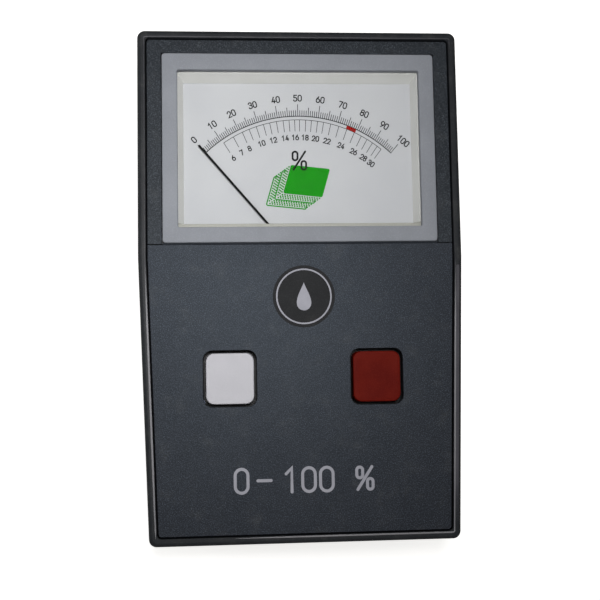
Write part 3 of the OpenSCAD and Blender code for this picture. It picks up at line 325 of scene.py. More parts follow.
def make_handling():
    """Marks of use: Dust is a patchy mask on faces that look up, Rubs is a mask of faint streaks
    and Edge is a mask of corners, found where the rounded normal leaves the true one."""
    group, given, result = new_group("handling_marks", [("Size", 6.0), ("Edge Width", 0.3)],
                                     ["Dust", "Rubs", "Edge"])
    place = own_place(group)
    scale = maths(group, "DIVIDE", 1 / MM, given["Size"])
    patch = noise(group, place, scale, 6.0, 0.7)
    normal = put(group, "NewGeometry").outputs["Normal"]
    facing = step_mask(group, put(group, "SeparateXYZ", {0: normal}).outputs["Z"], 0.2, 0.9)
    dust = maths(group, "MULTIPLY", step_mask(group, patch, 0.5, 0.75), facing)
    stretch = {"Vector": place, "Rotation": (0.0, 0.0, 0.6), "Scale": (1.0, 14.0, 4.0)}
    streak = noise(group, put(group, "Mapping", stretch).outputs[0], scale, 4.0, 0.6)
    radius = maths(group, "MULTIPLY", given["Edge Width"], MM)
    rounded_normal = put(group, "Bevel", {"Radius": radius}, samples=4).outputs[0]
    agree = put(group, "VectorMath", {0: rounded_normal, 1: normal}, operation="DOT_PRODUCT")
    corner = step_mask(group, maths(group, "SUBTRACT", 1.0, agree.outputs["Value"]), 0.01, 0.2)
    broken = maths(group, "MULTIPLY", corner, step_mask(group, patch, 0.35, 0.6))
    group.links.new(dust, result.inputs["Dust"])
    group.links.new(step_mask(group, streak, 0.6, 0.7), result.inputs["Rubs"])
    group.links.new(broken, result.inputs["Edge"])
    return group


def make_machining():
    """Fine lines left by a tool: noise drawn out along X and Y, with a broad tarnish. The size is
    the line spacing in millimetres."""
    group, given, result = new_group("machined_lines", [("Size", 0.25)], ["Lines", "Tarnish"])
    place = own_place(group)
    scale = maths(group, "DIVIDE", 1 / MM, given["Size"])
    drawn = put(group, "Mapping", {"Vector": place, "Scale": (0.08, 0.3, 1.0)}).outputs[0]
    tarnish = noise(group, place, 0.25 / MM, 4.0, 0.6)
    group.links.new(noise(group, drawn, scale), result.inputs["Lines"])
    group.links.new(step_mask(group, tarnish, 0.35, 0.7), result.inputs["Tarnish"])
    return group


GRAIN, HANDLING, MACHINING = make_grain(), make_handling(), make_machining()


# Materials

def linear(r, g, b):
    """Colour read off a screen from 0 to 255, as the light that it stands for."""
    c = np.array([r, g, b]) / 255
    return (*np.where(c <= 0.04045, c / 12.92, ((c + 0.055) / 1.055) ** 2.4).tolist(), 1.0)


def blend(tree, share, first, second):
    """Colour between two, by a mask."""
    mix = put(tree, "Mix", data_type="RGBA")
    mix.clamp_factor = True
    for key, value in ((0, share), (6, first), (7, second)):
        if isinstance(value, bpy.types.NodeSocket):
            tree.links.new(value, mix.inputs[key])
        else:
            mix.inputs[key].default_value = value
    return mix.outputs[2]


def new_finish(name):
    """The node tree and Principled shader of a new material."""
    finishes[name] = bpy.data.materials.new(name)
    finishes[name].use_nodes = True
    tree = finishes[name].node_tree
    return tree, tree.nodes["Principled BSDF"]


def bumped(tree, height, depth):
    """Normal over a relief of a depth in millimetres."""
    return put(tree, "Bump", {"Strength": 1.0, "Distance": depth * MM, "Height": height}).outputs[0]


def plastic(name, tone, dark, speck, grain=0.5, mottle=9.0, specks=0.3, bump=0.02, rough=0.5, gloss=0.35,
            dust=0.12, rubs=0.15, edge=0.25, pale=(150, 148, 140), coat=0.0, tint=(1, 1, 1), low=None):
    """Moulded, painted or rolled finish: two close tones by the mottle, pale specks and grain, with
    dust, rubbed streaks and lighter corners on top. The bump is the grain's depth in millimetres.
    Low is a tone of painted light or shade that takes over where Y falls from one height in millimetres to
    another."""
    tree, shader = new_finish(name)
    relief = put(tree, "Group", node_tree=GRAIN)
    relief.inputs["Size"].default_value = grain
    relief.inputs["Mottle Size"].default_value = mottle
    marks = put(tree, "Group", node_tree=HANDLING)
    colour = blend(tree, relief.outputs["Mottle"], linear(*dark), linear(*tone))
    if low:
        low_tone, full, gone = low
        y = put(tree, "SeparateXYZ", {0: own_place(tree)}).outputs["Y"]
        colour = blend(tree, step_mask(tree, y, full * MM, gone * MM), colour, linear(*low_tone))
    colour = blend(tree, scaled(tree, relief.outputs["Specks"], specks), colour, linear(*speck))
    colour = blend(tree, scaled(tree, marks.outputs["Edge"], edge), colour, linear(*speck))
    colour = blend(tree, scaled(tree, marks.outputs["Dust"], dust), colour, linear(*pale))
    tree.links.new(colour, shader.inputs["Base Color"])
    height = relief.outputs["Height"]
    rubbed = scaled(tree, marks.outputs["Rubs"], -rubs, rough)
    tree.links.new(maths(tree, "ADD", rubbed, scaled(tree, height, 0.1, -0.05)), shader.inputs["Roughness"])
    tree.links.new(bumped(tree, height, bump), shader.inputs["Normal"])
    shader.inputs["Specular IOR Level"].default_value = gloss
    shader.inputs["Specular Tint"].default_value = (*tint, 1.0)
    shader.inputs["Coat Weight"].default_value = coat


def metal(name, tone, dull, lines=0.25, bump=0.004, rough=0.3, tarnish=0.3):
    """Turned, drawn or stamped metal: the tone goes towards the dull one where it is tarnished, and
    the tool's lines change its gloss and relief."""
    tree, shader = new_finish(name)
    cut = put(tree, "Group", node_tree=MACHINING)
    cut.inputs["Size"].default_value = lines
    marks = put(tree, "Group", node_tree=HANDLING)
    bright = [min(255, c + 25) for c in tone]
    colour = blend(tree, scaled(tree, cut.outputs["Tarnish"], tarnish), linear(*tone), linear(*dull))
    colour = blend(tree, scaled(tree, marks.outputs["Edge"], 0.4), colour, linear(*bright))
    tree.links.new(colour, shader.inputs["Base Color"])
    drawn = scaled(tree, cut.outputs["Lines"], 0.2, rough - 0.1)
    tree.links.new(maths(tree, "ADD", drawn, scaled(tree, cut.outputs["Tarnish"], 0.12)),
                   shader.inputs["Roughness"])
    tree.links.new(bumped(tree, cut.outputs["Lines"], bump), shader.inputs["Normal"])
    shader.inputs["Metallic"].default_value = 1.0


def clear_pane(name):
    """Clear acrylic with a trace of handling in its gloss. Light meant for the dial passes straight
    through, so that the dial is lit as under thin glass."""
    tree, shader = new_finish(name)
    shader.inputs["Transmission Weight"].default_value = 1.0
    shader.inputs["IOR"].default_value = 1.25
    marks = put(tree, "Group", node_tree=HANDLING)
    dust = scaled(tree, marks.outputs["Dust"], 0.02)
    tint = blend(tree, dust, linear(252, 253, 252), linear(225, 225, 222))
    tree.links.new(tint, shader.inputs["Base Color"])
    tree.links.new(scaled(tree, marks.outputs["Rubs"], 0.03), shader.inputs["Roughness"])
    path = put(tree, "LightPath").outputs
    passing = maths(tree, "MAXIMUM", path["Is Shadow Ray"], path["Is Diffuse Ray"])
    straight = put(tree, "BsdfTransparent").outputs[0]
    mix = put(tree, "MixShader", {0: passing, 1: shader.outputs[0], 2: straight})
    tree.links.new(mix.outputs[0], tree.nodes["Material Output"].inputs["Surface"])


# Settings that several finishes share: no marks of use, printing ink, and the skin of a lead
clean = {"dust": 0.0, "rubs": 0.0, "edge": 0.0}
ink = {"mottle": 3, "bump": 0.002, "rough": 0.6, **clean}
lead = {"grain": 0.4, "mottle": 4, "bump": 0.006, "rough": 0.4, "edge": 0.0}

plastic("plate_slate", (35, 36, 40), (31, 32, 36), (91, 98, 110), grain=0.33, specks=0.42, bump=0.04,
        rough=0.46, gloss=0.15, dust=0.04, rubs=0.04, edge=0.1, tint=(0.71, 0.85, 1.0))
plastic("surround_plastic", (33, 36, 40), (28, 31, 35), (88, 94, 102), grain=0.28, specks=0.48,
        bump=0.05, rough=0.48, gloss=0.14, dust=0.04, rubs=0.04, edge=0.1, tint=(0.86, 0.93, 1.0))
plastic("case_plastic", (30, 32, 35), (26, 28, 31), (62, 64, 67), grain=0.4, specks=0.22, bump=0.02,
        rough=0.45, gloss=0.17, dust=0.06, rubs=0.06, edge=0.2)
plastic("back_plastic", (38, 40, 43), (33, 35, 38), (76, 78, 81), grain=0.5, specks=0.22, bump=0.03,
        rough=0.5, gloss=0.22, dust=0.08, rubs=0.08, edge=0.25)
# Lighter bead along the rim, paler still below the turn of the sides: a painted highlight.
plastic("bead_highlight_plastic", (60, 60, 64), (54, 54, 58), (84, 84, 87), grain=0.4, specks=0.2, bump=0.008,
        rough=0.4, gloss=0.2, dust=0.03, rubs=0.08, edge=0.0, low=((124, 123, 126), 10.0, -12.0))
# Pale tone of the band on the rim's lower right, darker again towards the lower end: a painted highlight.
plastic("rim_highlight_plastic", (70, 69, 74), (60, 59, 64), (96, 95, 99), grain=0.4, specks=0.25, bump=0.008,
        rough=0.45, gloss=0.15, dust=0.02, rubs=0.05, edge=0.0, low=((34, 36, 39), -52.0, -66.0))
# Flat black of the strip in the groove round the plates: painted shade.
plastic("gap_shade_black", (8, 9, 11), (5, 6, 8), (22, 23, 25), grain=0.3, specks=0.1, bump=0.01, rough=0.8,
        gloss=0.02, **clean)
# Dark tone of the strip in the seam under the window frame: painted shade.
plastic("seam_shade_dark", (34, 38, 44), (28, 32, 38), (52, 57, 64), grain=0.3, specks=0.2, bump=0.01,
        rough=0.6, gloss=0.08, **clean)
plastic("bezel_grey", (128, 131, 137), (122, 125, 131), (149, 152, 158), grain=0.35, mottle=14,
        specks=0.25, bump=0.02, rough=0.55, gloss=0.15, dust=0.03, rubs=0.05, edge=0.6)
# The lower lip of the ivory frame, below Y 16.8 mm, takes a darker tone: painted shade.
plastic("frame_ivory", (206, 206, 204), (201, 201, 198), (212, 212, 210), grain=0.4, mottle=12,
        specks=0.1, bump=0.008, rough=0.5, gloss=0.2, dust=0.02, rubs=0.05, edge=0.3,
        low=((158, 158, 150), 17.3, 16.8))
plastic("dial_white", (186, 187, 190), (182, 183, 187), (192, 193, 195), grain=0.3, mottle=16,
        specks=0.2, bump=0.004, rough=0.7, gloss=0.2, **clean)
plastic("cap_white", (182, 181, 186), (178, 177, 182), (190, 190, 194), grain=0.45, mottle=6, specks=0.2,
        bump=0.02, rough=0.5, gloss=0.15, dust=0.03, rubs=0.08, edge=0.2)
plastic("cap_red", (92, 20, 12), (84, 16, 10), (114, 38, 28), grain=0.45, mottle=6, specks=0.2,
        bump=0.02, rough=0.45, gloss=0.02, dust=0.01, rubs=0.08, edge=0.2, pale=(130, 70, 62))
plastic("ink_black", (5, 5, 6), (3, 3, 4), (16, 16, 18), grain=0.2, specks=0.15, gloss=0.05, **ink)
plastic("ink_grey", (30, 30, 33), (24, 24, 27), (48, 48, 50), grain=0.2, specks=0.15, gloss=0.05, **ink)
plastic("ink_green", (12, 136, 4), (9, 128, 3), (24, 146, 12), grain=0.25, specks=0.2, gloss=0.04, **ink)
plastic("ink_red", (150, 10, 4), (138, 7, 3), (162, 26, 18), grain=0.2, specks=0.2, gloss=0.04, **ink)
plastic("print_light", (152, 152, 160), (145, 145, 153), (165, 165, 172), grain=0.3, mottle=4,
        specks=0.2, bump=0.006, rough=0.55, gloss=0.1, dust=0.0, rubs=0.05, edge=0.0)
plastic("print_dark", (24, 25, 27), (20, 21, 23), (48, 49, 52), grain=0.4, mottle=5, specks=0.3,
        bump=0.02, rough=0.55, gloss=0.1, dust=0.02, rubs=0.05, edge=0.0)
clear_pane("pane_clear")
plastic("housing_black", (20, 20, 22), (15, 15, 17), (44, 44, 46), grain=0.4, specks=0.2, bump=0.02,
        rough=0.45, gloss=0.2, dust=0.03)
plastic("pointer_black", (7, 7, 8), (5, 5, 6), (20, 20, 22), grain=0.2, mottle=4, specks=0.1, bump=0.004,
        rough=0.6, gloss=0.03, dust=0.0, rubs=0.05, edge=0.0)
plastic("wheel_black", (26, 26, 28), (21, 21, 23), (60, 60, 62), grain=0.3, bump=0.015, rough=0.4,
        edge=0.4)
plastic("socket_black", (24, 24, 26), (19, 19, 21), (52, 52, 54), grain=0.35, bump=0.01, rough=0.35,
        edge=0.3)
plastic("chip_black", (34, 34, 36), (28, 28, 30), (66, 66, 68), grain=0.25, mottle=3, bump=0.01,
        rough=0.55, edge=0.3)
plastic("board_green", (30, 92, 52), (24, 78, 44), (58, 124, 84), grain=0.8, mottle=5, specks=0.2,
        bump=0.01, rough=0.35, gloss=0.5, edge=0.4, coat=0.3)
plastic("capacitor_blue", (32, 58, 110), (26, 48, 94), (78, 100, 146), grain=0.3, mottle=3, bump=0.004,
        rough=0.28, gloss=0.5, edge=0.3)
plastic("resistor_tan", (196, 166, 120), (182, 150, 104), (212, 186, 148), grain=0.25, mottle=1.5,
        bump=0.006, rough=0.4, edge=0.2)
plastic("trimmer_blue", (44, 92, 168), (36, 80, 150), (90, 132, 192), grain=0.3, mottle=3, bump=0.006,
        rough=0.35, edge=0.3)
plastic("battery_can", (92, 96, 102), (76, 80, 86), (150, 152, 156), grain=0.25, mottle=12, specks=0.15,
        bump=0.003, rough=0.28, gloss=0.6, edge=0.4)
plastic("foam", (62, 62, 64), (44, 44, 46), (88, 88, 90), grain=0.9, mottle=3, specks=0.5, bump=0.25,
        rough=0.9, gloss=0.1, edge=0.0)
plastic("lead_red", (176, 30, 26), (160, 24, 20), (204, 82, 76), **lead)
plastic("lead_black", (26, 26, 28), (20, 20, 22), (54, 54, 56), **lead)
plastic("lead_green", (30, 118, 62), (24, 104, 52), (84, 158, 110), **lead)
metal("screw_steel", (196, 198, 202), (150, 148, 144), rough=0.32)
metal("brass", (214, 184, 112), (164, 132, 76), rough=0.3)
metal("iron", (136, 136, 138), (96, 92, 88), lines=0.35, rough=0.42, tarnish=0.5)
metal("magnet", (150, 152, 156), (112, 112, 114), lines=0.5, bump=0.01, rough=0.4, tarnish=0.5)
metal("die_cast", (168, 170, 174), (132, 132, 134), lines=0.8, bump=0.02, rough=0.5, tarnish=0.5)
metal("spring_bronze", (198, 146, 90), (150, 102, 60), lines=0.1, rough=0.28)
metal("spring_steel", (182, 184, 188), (136, 134, 132), lines=0.1, rough=0.28)
metal("coil_aluminium", (208, 210, 214), (172, 172, 174), rough=0.35)
metal("coil_copper", (206, 120, 72), (150, 76, 42), lines=0.12, bump=0.03, rough=0.35)

# Each node's mesh takes the finish that its own slot names
for node in nodes.values():
    for place in node.material_slots:
        place.material = finishes[place.material.name.split(".")[0]]


# Case, frame and buttons

smooth_copy("upper_shell", "case_plastic")
smooth_copy("lower_shell", "back_plastic")
smooth_copy("battery_door", "back_plastic", body="battery_door")
smooth_copy("front_plate", "plate_slate", edge=0.12)
smooth_copy("meter_surround", "surround_plastic", edge=0.12)
smooth_copy("dial_frame", "frame_ivory", edge=0.15)


def window_frame():
    """Closed ring through rectangles with round corners: up the outer wall, over a quarter-round
    edge, across the top, over a second edge into the window, out into the pane's pocket, and down
    and round the skirt. On an edge of radius e the outline moves in by e times one less the cosine,
    and its height by e times the sine."""
    outer, inner, least_r = 0.35, 0.28, 0.15

    def grown(shape, by, height):
        width, length, middle_y, radius = shape
        outline = rounded_box(width + 2 * by, length + 2 * by, middle_y, max(radius + by, least_r))
        return at_height(outline, height)

    angle = np.radians(np.linspace(0, 90, 6))
    rings = [grown(BEZEL, 0, FRONT_Z)]
    rings += [grown(BEZEL, -outer * (1 - np.cos(a)), RIM_Z - outer + outer * np.sin(a)) for a in angle]
    rings += [grown(WINDOW, inner * (1 - np.sin(a)), RIM_Z - inner + inner * np.cos(a)) for a in angle]
    rings += [grown(WINDOW, 0, FRONT_Z), grown(POCKET, 0, FRONT_Z), grown(POCKET, 0, PANE_LOW)]
    rings += [grown(SKIRT, 0, PANE_LOW), grown(SKIRT, 0, FRONT_Z)]
    return loft(rings, close_rows=True)


piece("meter_bezel_skin", window_frame(), "bezel_grey", replaces=["meter_bezel"])


def button_cap(middle_x):
    """Cap lofted through round-cornered squares: up the skirt, round a broad edge, and over a top
    that falls in by a hollow of the squared distance from the middle; then down the inside. The
    stem is a plain prism below it."""
    edge, dish, skirt_top, rounder, pole = 0.32, 0.1, FACE_Z - 1.2, 0.6, 0.01
    ceiling_z = FACE_Z - CAP_WALL

    def ring(by, height, radius):
        size = (CAP_W - 2 * by, CAP_L - 2 * by)
        return at_height(rounded_box(*size, BUTTON_Y, max(radius - by, 0.2), middle_x=middle_x), height)

    angle = np.radians(np.linspace(0, 90, 8))
    outside = [ring(0, CAP_LOW, CAP_R), ring(0, skirt_top, CAP_R)]
    outside += [ring(edge * (1 - np.cos(a)), FACE_Z - edge + edge * np.sin(a), CAP_R + rounder)
                for a in angle]
    middle = np.array([middle_x, BUTTON_Y, FACE_Z])
    top = outside[-1]
    for share in (0.85, 0.7, 0.5, 0.3, 0.1, pole):
        inner = middle + (top - middle) * share
        inner[:, 2] = FACE_Z - dish * (1 - share ** 2)
        outside.append(inner)
    inside = [ring(CAP_WALL, CAP_LOW, CAP_R), ring(CAP_WALL, ceiling_z, CAP_R)]
    ceiling = inside[-1].copy()
    ceiling[:, :2] = middle[:2] + (ceiling[:, :2] - middle[:2]) * pole
    cap = loft([ceiling] + inside[::-1] + outside, cap_ends=True)
    stem = slab(rounded_box(STEM_W, STEM_W, BUTTON_Y, 0.3, 3, middle_x), STEM_LOW, ceiling_z)
    return joined([cap, stem])


piece("white_button_skin", button_cap(-BUTTON_X), "cap_white", "white_button", crease=40,
      replaces=["white_button"])
piece("red_button_skin", button_cap(BUTTON_X), "cap_red", "red_button", crease=40,
      replaces=["red_button"])


def return_spring(middle_x):
    """Round wire swept along a coil from the switch to the cap. The height rises with the turn and
    its smooth step, so the end turns lie flatter. Each ring of the wire is a circle that stands
    upright across the coil."""
    low, high, even_share = SWITCH_TOP + SPRING_WIRE / 2, SPRING_TOP - SPRING_WIRE / 2, 0.35
    share = np.linspace(0, 1, 36 * SPRING_TURNS + 1)
    turn = 2 * np.pi * SPRING_TURNS * share
    rise = even_share * share + (1 - even_share) * share ** 2 * (3 - 2 * share)
    out = np.stack([np.cos(turn), np.sin(turn), np.zeros_like(turn)], -1)
    up = np.array([0.0, 0.0, 1.0])
    path = np.array([middle_x, BUTTON_Y, low]) + SPRING_R * out + up * ((high - low) * rise)[:, None]
    angle = np.linspace(0, 2 * np.pi, 10, endpoint=False)
    wall = np.cos(angle)[None, :, None] * out[:, None, :] + np.sin(angle)[None, :, None] * up
    return loft(path[:, None, :] + SPRING_WIRE / 2 * wall, cap_ends=True)


for name, middle_x in (("white", -BUTTON_X), ("red", BUTTON_X)):
    coil = piece(f"{name}_spring_coil", return_spring(middle_x), "spring_steel", crease=60,
                 replaces=[f"{name}_spring"])
    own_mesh(coil)


def push_switch(middle_x, collar_w):
    """Square switch body with a wide black collar on top, which closes the gap round the cap from below
    and stands there as painted shade: a skin through rings with round corners, from the well of the
    stem out over the foot, up the body, over the collar and back into the well, with a floor plate
    and two terminal ribs. A wider collar reaches further to the right."""
    body, well, rib_w, rib_l = 12.0, 5.8, 1.2, 9.0
    collar_l, collar_r, chamfer, collar_low = 16.4, 2.9, 0.12, SWITCH_TOP - 0.8
    foot, floor_z, rib_top = BOARD_TOP + TOUCH, BOARD_TOP + 0.6, BOARD_TOP + 5.5
    collar_x = middle_x + (collar_w - COLLAR_W) / 2

    def ring(width, length, radius, height, middle=middle_x):
        return at_height(rounded_box(width, length, BUTTON_Y, radius, 4, middle), height)

    skin = loft([ring(well, well, 0.2, floor_z), ring(body, body, 0.6, foot),
                 ring(body, body, 0.6, collar_low - 0.5), ring(body + 0.8, body + 0.8, 0.8, collar_low),
                 ring(collar_w, collar_l, collar_r, collar_low, collar_x),
                 ring(collar_w, collar_l, collar_r, SWITCH_TOP - chamfer, collar_x),
                 ring(collar_w - 2 * chamfer, collar_l - 2 * chamfer, collar_r - 0.1, SWITCH_TOP, collar_x),
                 ring(well, well, 0.2, SWITCH_TOP), ring(well, well, 0.2, floor_z)])
    floor_outline = rounded_box(well + 0.2, well + 0.2, BUTTON_Y, 0.2, 4, middle_x)
    shapes = [skin, slab(floor_outline, floor_z - 0.5, floor_z + 0.1)]
    for rib_x in (middle_x - body / 2 - 0.2, middle_x + body / 2 + 0.2):
        shapes.append(slab(rounded_box(rib_w, rib_l, BUTTON_Y, 0.3, 3, rib_x), foot, rib_top))
    return joined(shapes)


# The switches' wide black collars are painted shade in the gaps round the caps.
piece("white_switch_skin", push_switch(-BUTTON_X, COLLAR_W), "housing_black", crease=35,
      replaces=["white_switch"])
piece("red_switch_skin", push_switch(BUTTON_X, WIDE_COLLAR_W), "housing_black", crease=35,
      replaces=["red_switch"])


# Rim and the strips along it: painted highlights on the rim, painted shade in the groove and seam

def inset_plan(inset):
    """Plan of the case drawn in by an inset: each side moves along its own normal, so a corner
    moves by the sum of both normals over one plus their product."""
    low_w = HALF_W - END_TAPER
    corners = np.array([[HALF_W, HALF_L], [-HALF_W, HALF_L], [-HALF_W, TAPER_Y],
                        [-low_w, -HALF_L], [low_w, -HALF_L], [HALF_W, TAPER_Y]])
    along = unit(np.roll(corners, -1, 0) - corners)
    after = np.column_stack([-along[:, 1], along[:, 0]])
    before = np.roll(after, 1, 0)
    return corners + (after + before) * inset / (1 + np.sum(after * before, 1))[:, None]


def rounded(corners, radius, steps=6):
    """Closed outline with each corner replaced by the arc that touches both of its sides."""
    p = np.asarray(corners, float)
    r = np.broadcast_to(radius, len(p)).astype(float)[:, None]
    a, b = unit(np.roll(p, 1, 0) - p), unit(np.roll(p, -1, 0) - p)
    half = np.arccos(np.clip(np.sum(a * b, 1), -1, 1))[:, None] / 2
    start, end = p + a * r / np.tan(half), p + b * r / np.tan(half)
    centre = p + unit(a + b) * r / np.sin(half)
    turn = (np.pi - 2 * half)[:, None]
    t = np.linspace(0, 1, steps + 1)[None, :, None]
    from_start = np.sin((1 - t) * turn) * (start - centre)[:, None]
    from_end = np.sin(t * turn) * (end - centre)[:, None]
    return (centre[:, None] + (from_start + from_end) / np.sin(turn)).reshape(-1, 2)


def dense(outline, step=2.0):
    """Closed outline with points added evenly along its length."""
    ends = np.concatenate([outline, outline[:1]])
    length = np.concatenate([[0], np.cumsum(np.linalg.norm(np.diff(ends, axis=0), axis=1))])
    more = np.union1d(length[:-1], np.arange(0, length[-1], step))
    return np.column_stack([np.interp(more, length, ends[:, k]) for k in (0, 1)])


def rim_line(inset, corner_r):
    """Closed line round the rim at an inset from the case's outline."""
    return dense(rounded(inset_plan(inset), [corner_r, corner_r, SIDE_BEND_R] * 2))


def fade_in(value, start, run):
    """0 above the start and 1 a run's length below it, as a smooth step."""
    t = np.clip((start - value) / run, 0, 1)
    return t * t * (3 - 2 * t)


def rim_bead():
    """Half-round bead along the rim's inner edge, in a pale finish that paints the rim's highlight:
    the section at each point of the path is half an ellipse that stands across the path. Its
    half-width, and with it the painted highlight's width, is small round the window, most of all at
    the right, and larger along the meter end. It grows below the place where the sides turn in, and
    falls again towards the lower end and its left half."""
    path = rim_line(RIM_W - 0.3, 0.5)
    x, y = path.T
    ahead = unit(np.roll(path, -1, 0) - np.roll(path, 1, 0))
    across = np.column_stack([-ahead[:, 1], ahead[:, 0]])
    right = 1 - fade_in(x, 42.0, 3.0)
    lower_part = fade_in(y, TAPER_Y + 4, 26)
    meter_end = fade_in(-y, 6 - HALF_L, 4)
    lower_end = fade_in(y, -45.0, 22) * np.where(y < -68.9, 0.6, 1.0)
    lower_left = fade_in(x, 0.0, 25.0) * fade_in(y, -68.0, 1.0)
    half = 0.08 * (1 - 0.8 * right) + (0.2 + 0.02 * right) * lower_part + 0.12 * meter_end
    half = np.maximum(half - 0.1 * lower_end - 0.2 * lower_left, 0.015)
    angle = np.radians(np.linspace(0, 180, 9))
    reach = np.cos(angle)[None, :, None] * half[:, None, None] * across[:, None, :]
    height = RIM_Z - TOUCH + 0.45 * half[:, None] * np.sin(angle)[None, :]
    rings = np.concatenate([path[:, None, :] + reach, height[..., None]], -1)
    return loft(rings, close_rows=True)


def rim_band():
    """Lighter flat on the rim outside the bead, along the right side below its turn: a painted highlight.
    """
    line = rim_line(1.28, 1.2)
    x, y = line.T
    return ribbon(line[(x > 30) & (y < TAPER_Y - 3) & (y > -67.0)], 0.85, RIM_Z - TOUCH, RIM_Z + 0.012)


def groove_strip():
    """Black strip in the groove between the rim and the plates, just under their tops: painted shade."""
    return ribbon(rim_line(RIM_W + 0.225, 0.4), 0.4, FRONT_Z + TOUCH, FACE_Z - 0.16, True)


def seam_strip():
    """Dark strip that fills the seam between the face plate and the window frame: painted shade."""
    width, length, middle_y = BEZEL[:3]
    clear, half_w = 0.06, width / 2 + 0.1
    low, high = FRONT_PLATE_END + clear, middle_y - length / 2 - clear
    outline = rounded([(half_w, high), (-half_w, high), (-half_w, low), (half_w, low)], 0.1)
    return slab(outline, FRONT_Z + TOUCH, FACE_Z - 0.1)


# Painted highlight: the pale bead beside the groove.
piece("rim_bead", rim_bead(), "bead_highlight_plastic", crease=60)
# Painted highlight: a pale band on the rim's right side below its turn.
piece("rim_band", rim_band(), "rim_highlight_plastic")
# Painted shade: a black strip down in the groove round the plates.
piece("groove_strip", groove_strip(), "gap_shade_black")
# Painted shade: a dark strip in the seam between the face plate and the window frame.
piece("seam_strip", seam_strip(), "seam_shade_dark")


# Printing

# Each figure's strokes on a grid one unit high: points, the radius of its corners, and whether the
# stroke closes
DIGIT_W, ADVANCE = 0.54, 0.76
DIGITS = {
    "0": [([(0.27, 1), (0, 1), (0, 0), (0.54, 0), (0.54, 1)], 0.27, True)],
    "1": [([(0.06, 0.76), (0.3, 1), (0.3, 0)], 0.0, False)],
    "2": [([(0.0, 0.74), (0.0, 1), (0.52, 1), (0.52, 0.56), (0.0, 0), (0.54, 0)],
           (0.25, 0.25, 0.16, 0.0), False)],
    "3": [([(0.02, 0.8), (0.02, 1), (0.5, 1), (0.5, 0.54), (0.2, 0.54)], (0.2, 0.22, 0.2), False),
          ([(0.2, 0.54), (0.54, 0.54), (0.54, 0), (0.0, 0), (0.0, 0.2)], (0.26, 0.27, 0.2), False)],
    "4": [([(0.34, 1), (0.02, 0.24), (0.56, 0.24)], 0.0, False), ([(0.4, 0.52), (0.4, 0)], 0.0, False)],
    "5": [([(0.5, 1), (0.06, 1), (0.04, 0.58), (0.54, 0.62), (0.54, 0), (0.0, 0), (0.0, 0.18)],
           (0.0, 0.02, 0.26, 0.27, 0.18), False)],
    "6": [([(0.0, 0.3), (0.0, 0.62), (0.54, 0.62), (0.54, 0), (0, 0)], 0.26, True),
          ([(0.36, 1), (0.0, 0.5), (0.0, 0.3)], 0.2, False)],
    "7": [([(0.0, 1), (0.54, 1), (0.2, 0)], 0.0, False)],
    "8": [([(0.27, 1), (0.03, 1), (0.03, 0.54), (0.51, 0.54), (0.51, 1)], 0.22, True),
          ([(0.27, 0.54), (0, 0.54), (0, 0), (0.54, 0), (0.54, 0.54)], 0.26, True)],
    "9": [([(0.54, 0.7), (0.54, 0.38), (0, 0.38), (0, 1), (0.54, 1)], 0.26, True),
          ([(0.18, 0), (0.54, 0.5), (0.54, 0.7)], 0.2, False)],
}
ARC_STEPS = 5


def pen_path(points, radius, closed):
    """Stroke with rounded corners. On an open stroke both ends stay where they are."""
    p = np.asarray(points, float)
    if len(p) < 3:
        return p
    if closed:
        a, b = np.roll(p, 1, 0) - p, np.roll(p, -1, 0) - p
        bent = np.abs(a[:, 0] * b[:, 1] - a[:, 1] * b[:, 0]) > SAME_POINT
        return rounded(p[bent], radius, ARC_STEPS)
    inner = np.broadcast_to(radius, len(p) - 2)
    middle_arc = slice(ARC_STEPS + 1, 2 * ARC_STEPS + 2)
    line = [p[:1]]
    for k in range(1, len(p) - 1):
        if inner[k - 1] < SAME_POINT:
            line.append(p[k:k + 1])
        else:
            bend = rounded(p[k - 1:k + 2], [SAME_POINT, inner[k - 1], SAME_POINT], ARC_STEPS)
            line.append(bend[middle_arc])
    return np.concatenate(line + [p[-1:]])


def digits(text, middle, height, turn, pen, z):
    """Number set on its middle and turned clockwise by an angle in degrees, as thin raised strokes."""
    wide = (len(text) - 1) * ADVANCE + DIGIT_W
    a = np.radians(-turn)
    spin = np.array([[np.cos(a), np.sin(a)], [-np.sin(a), np.cos(a)]])
    shapes = []
    for k, figure in enumerate(text):
        for points, radius, closed in DIGITS[figure]:
            path = (pen_path(points, radius, closed) + [k * ADVANCE - wide / 2, -0.5]) * height
            shapes.append(ribbon(path @ spin + middle, pen, z, z + INK_T, closed))
    return shapes


def bearing(angle):
    """Unit vector at an angle in degrees, clockwise from the meter end."""
    a = np.radians(np.asarray(angle, float))
    return np.stack([np.sin(a), np.cos(a)], -1)


def on_circle(angle, centre, radius):
    """Where the ray from the pivot at an angle meets a circle: the far root of its square
    equation."""
    d = bearing(angle)
    gap = np.asarray(centre) - PIVOT
    along = d @ gap
    return PIVOT + d * (along + np.sqrt(along ** 2 - gap @ gap + radius ** 2))[..., None]


# The dial's circles, each by its centre and radius: the two arcs, the ends of the long marks and
# the middles of the numbers
OUTER_ARC, OUTER_ENDS, OUTER_TEXT = ((0.1, 10.1), 38.13), ((0.19, 10.9), 40.74), ((0.19, 10.9), 42.6)
INNER_ARC, INNER_TEXT = ((0.1, 10.1), 37.08), ((0.1, 10.1), 31.97)

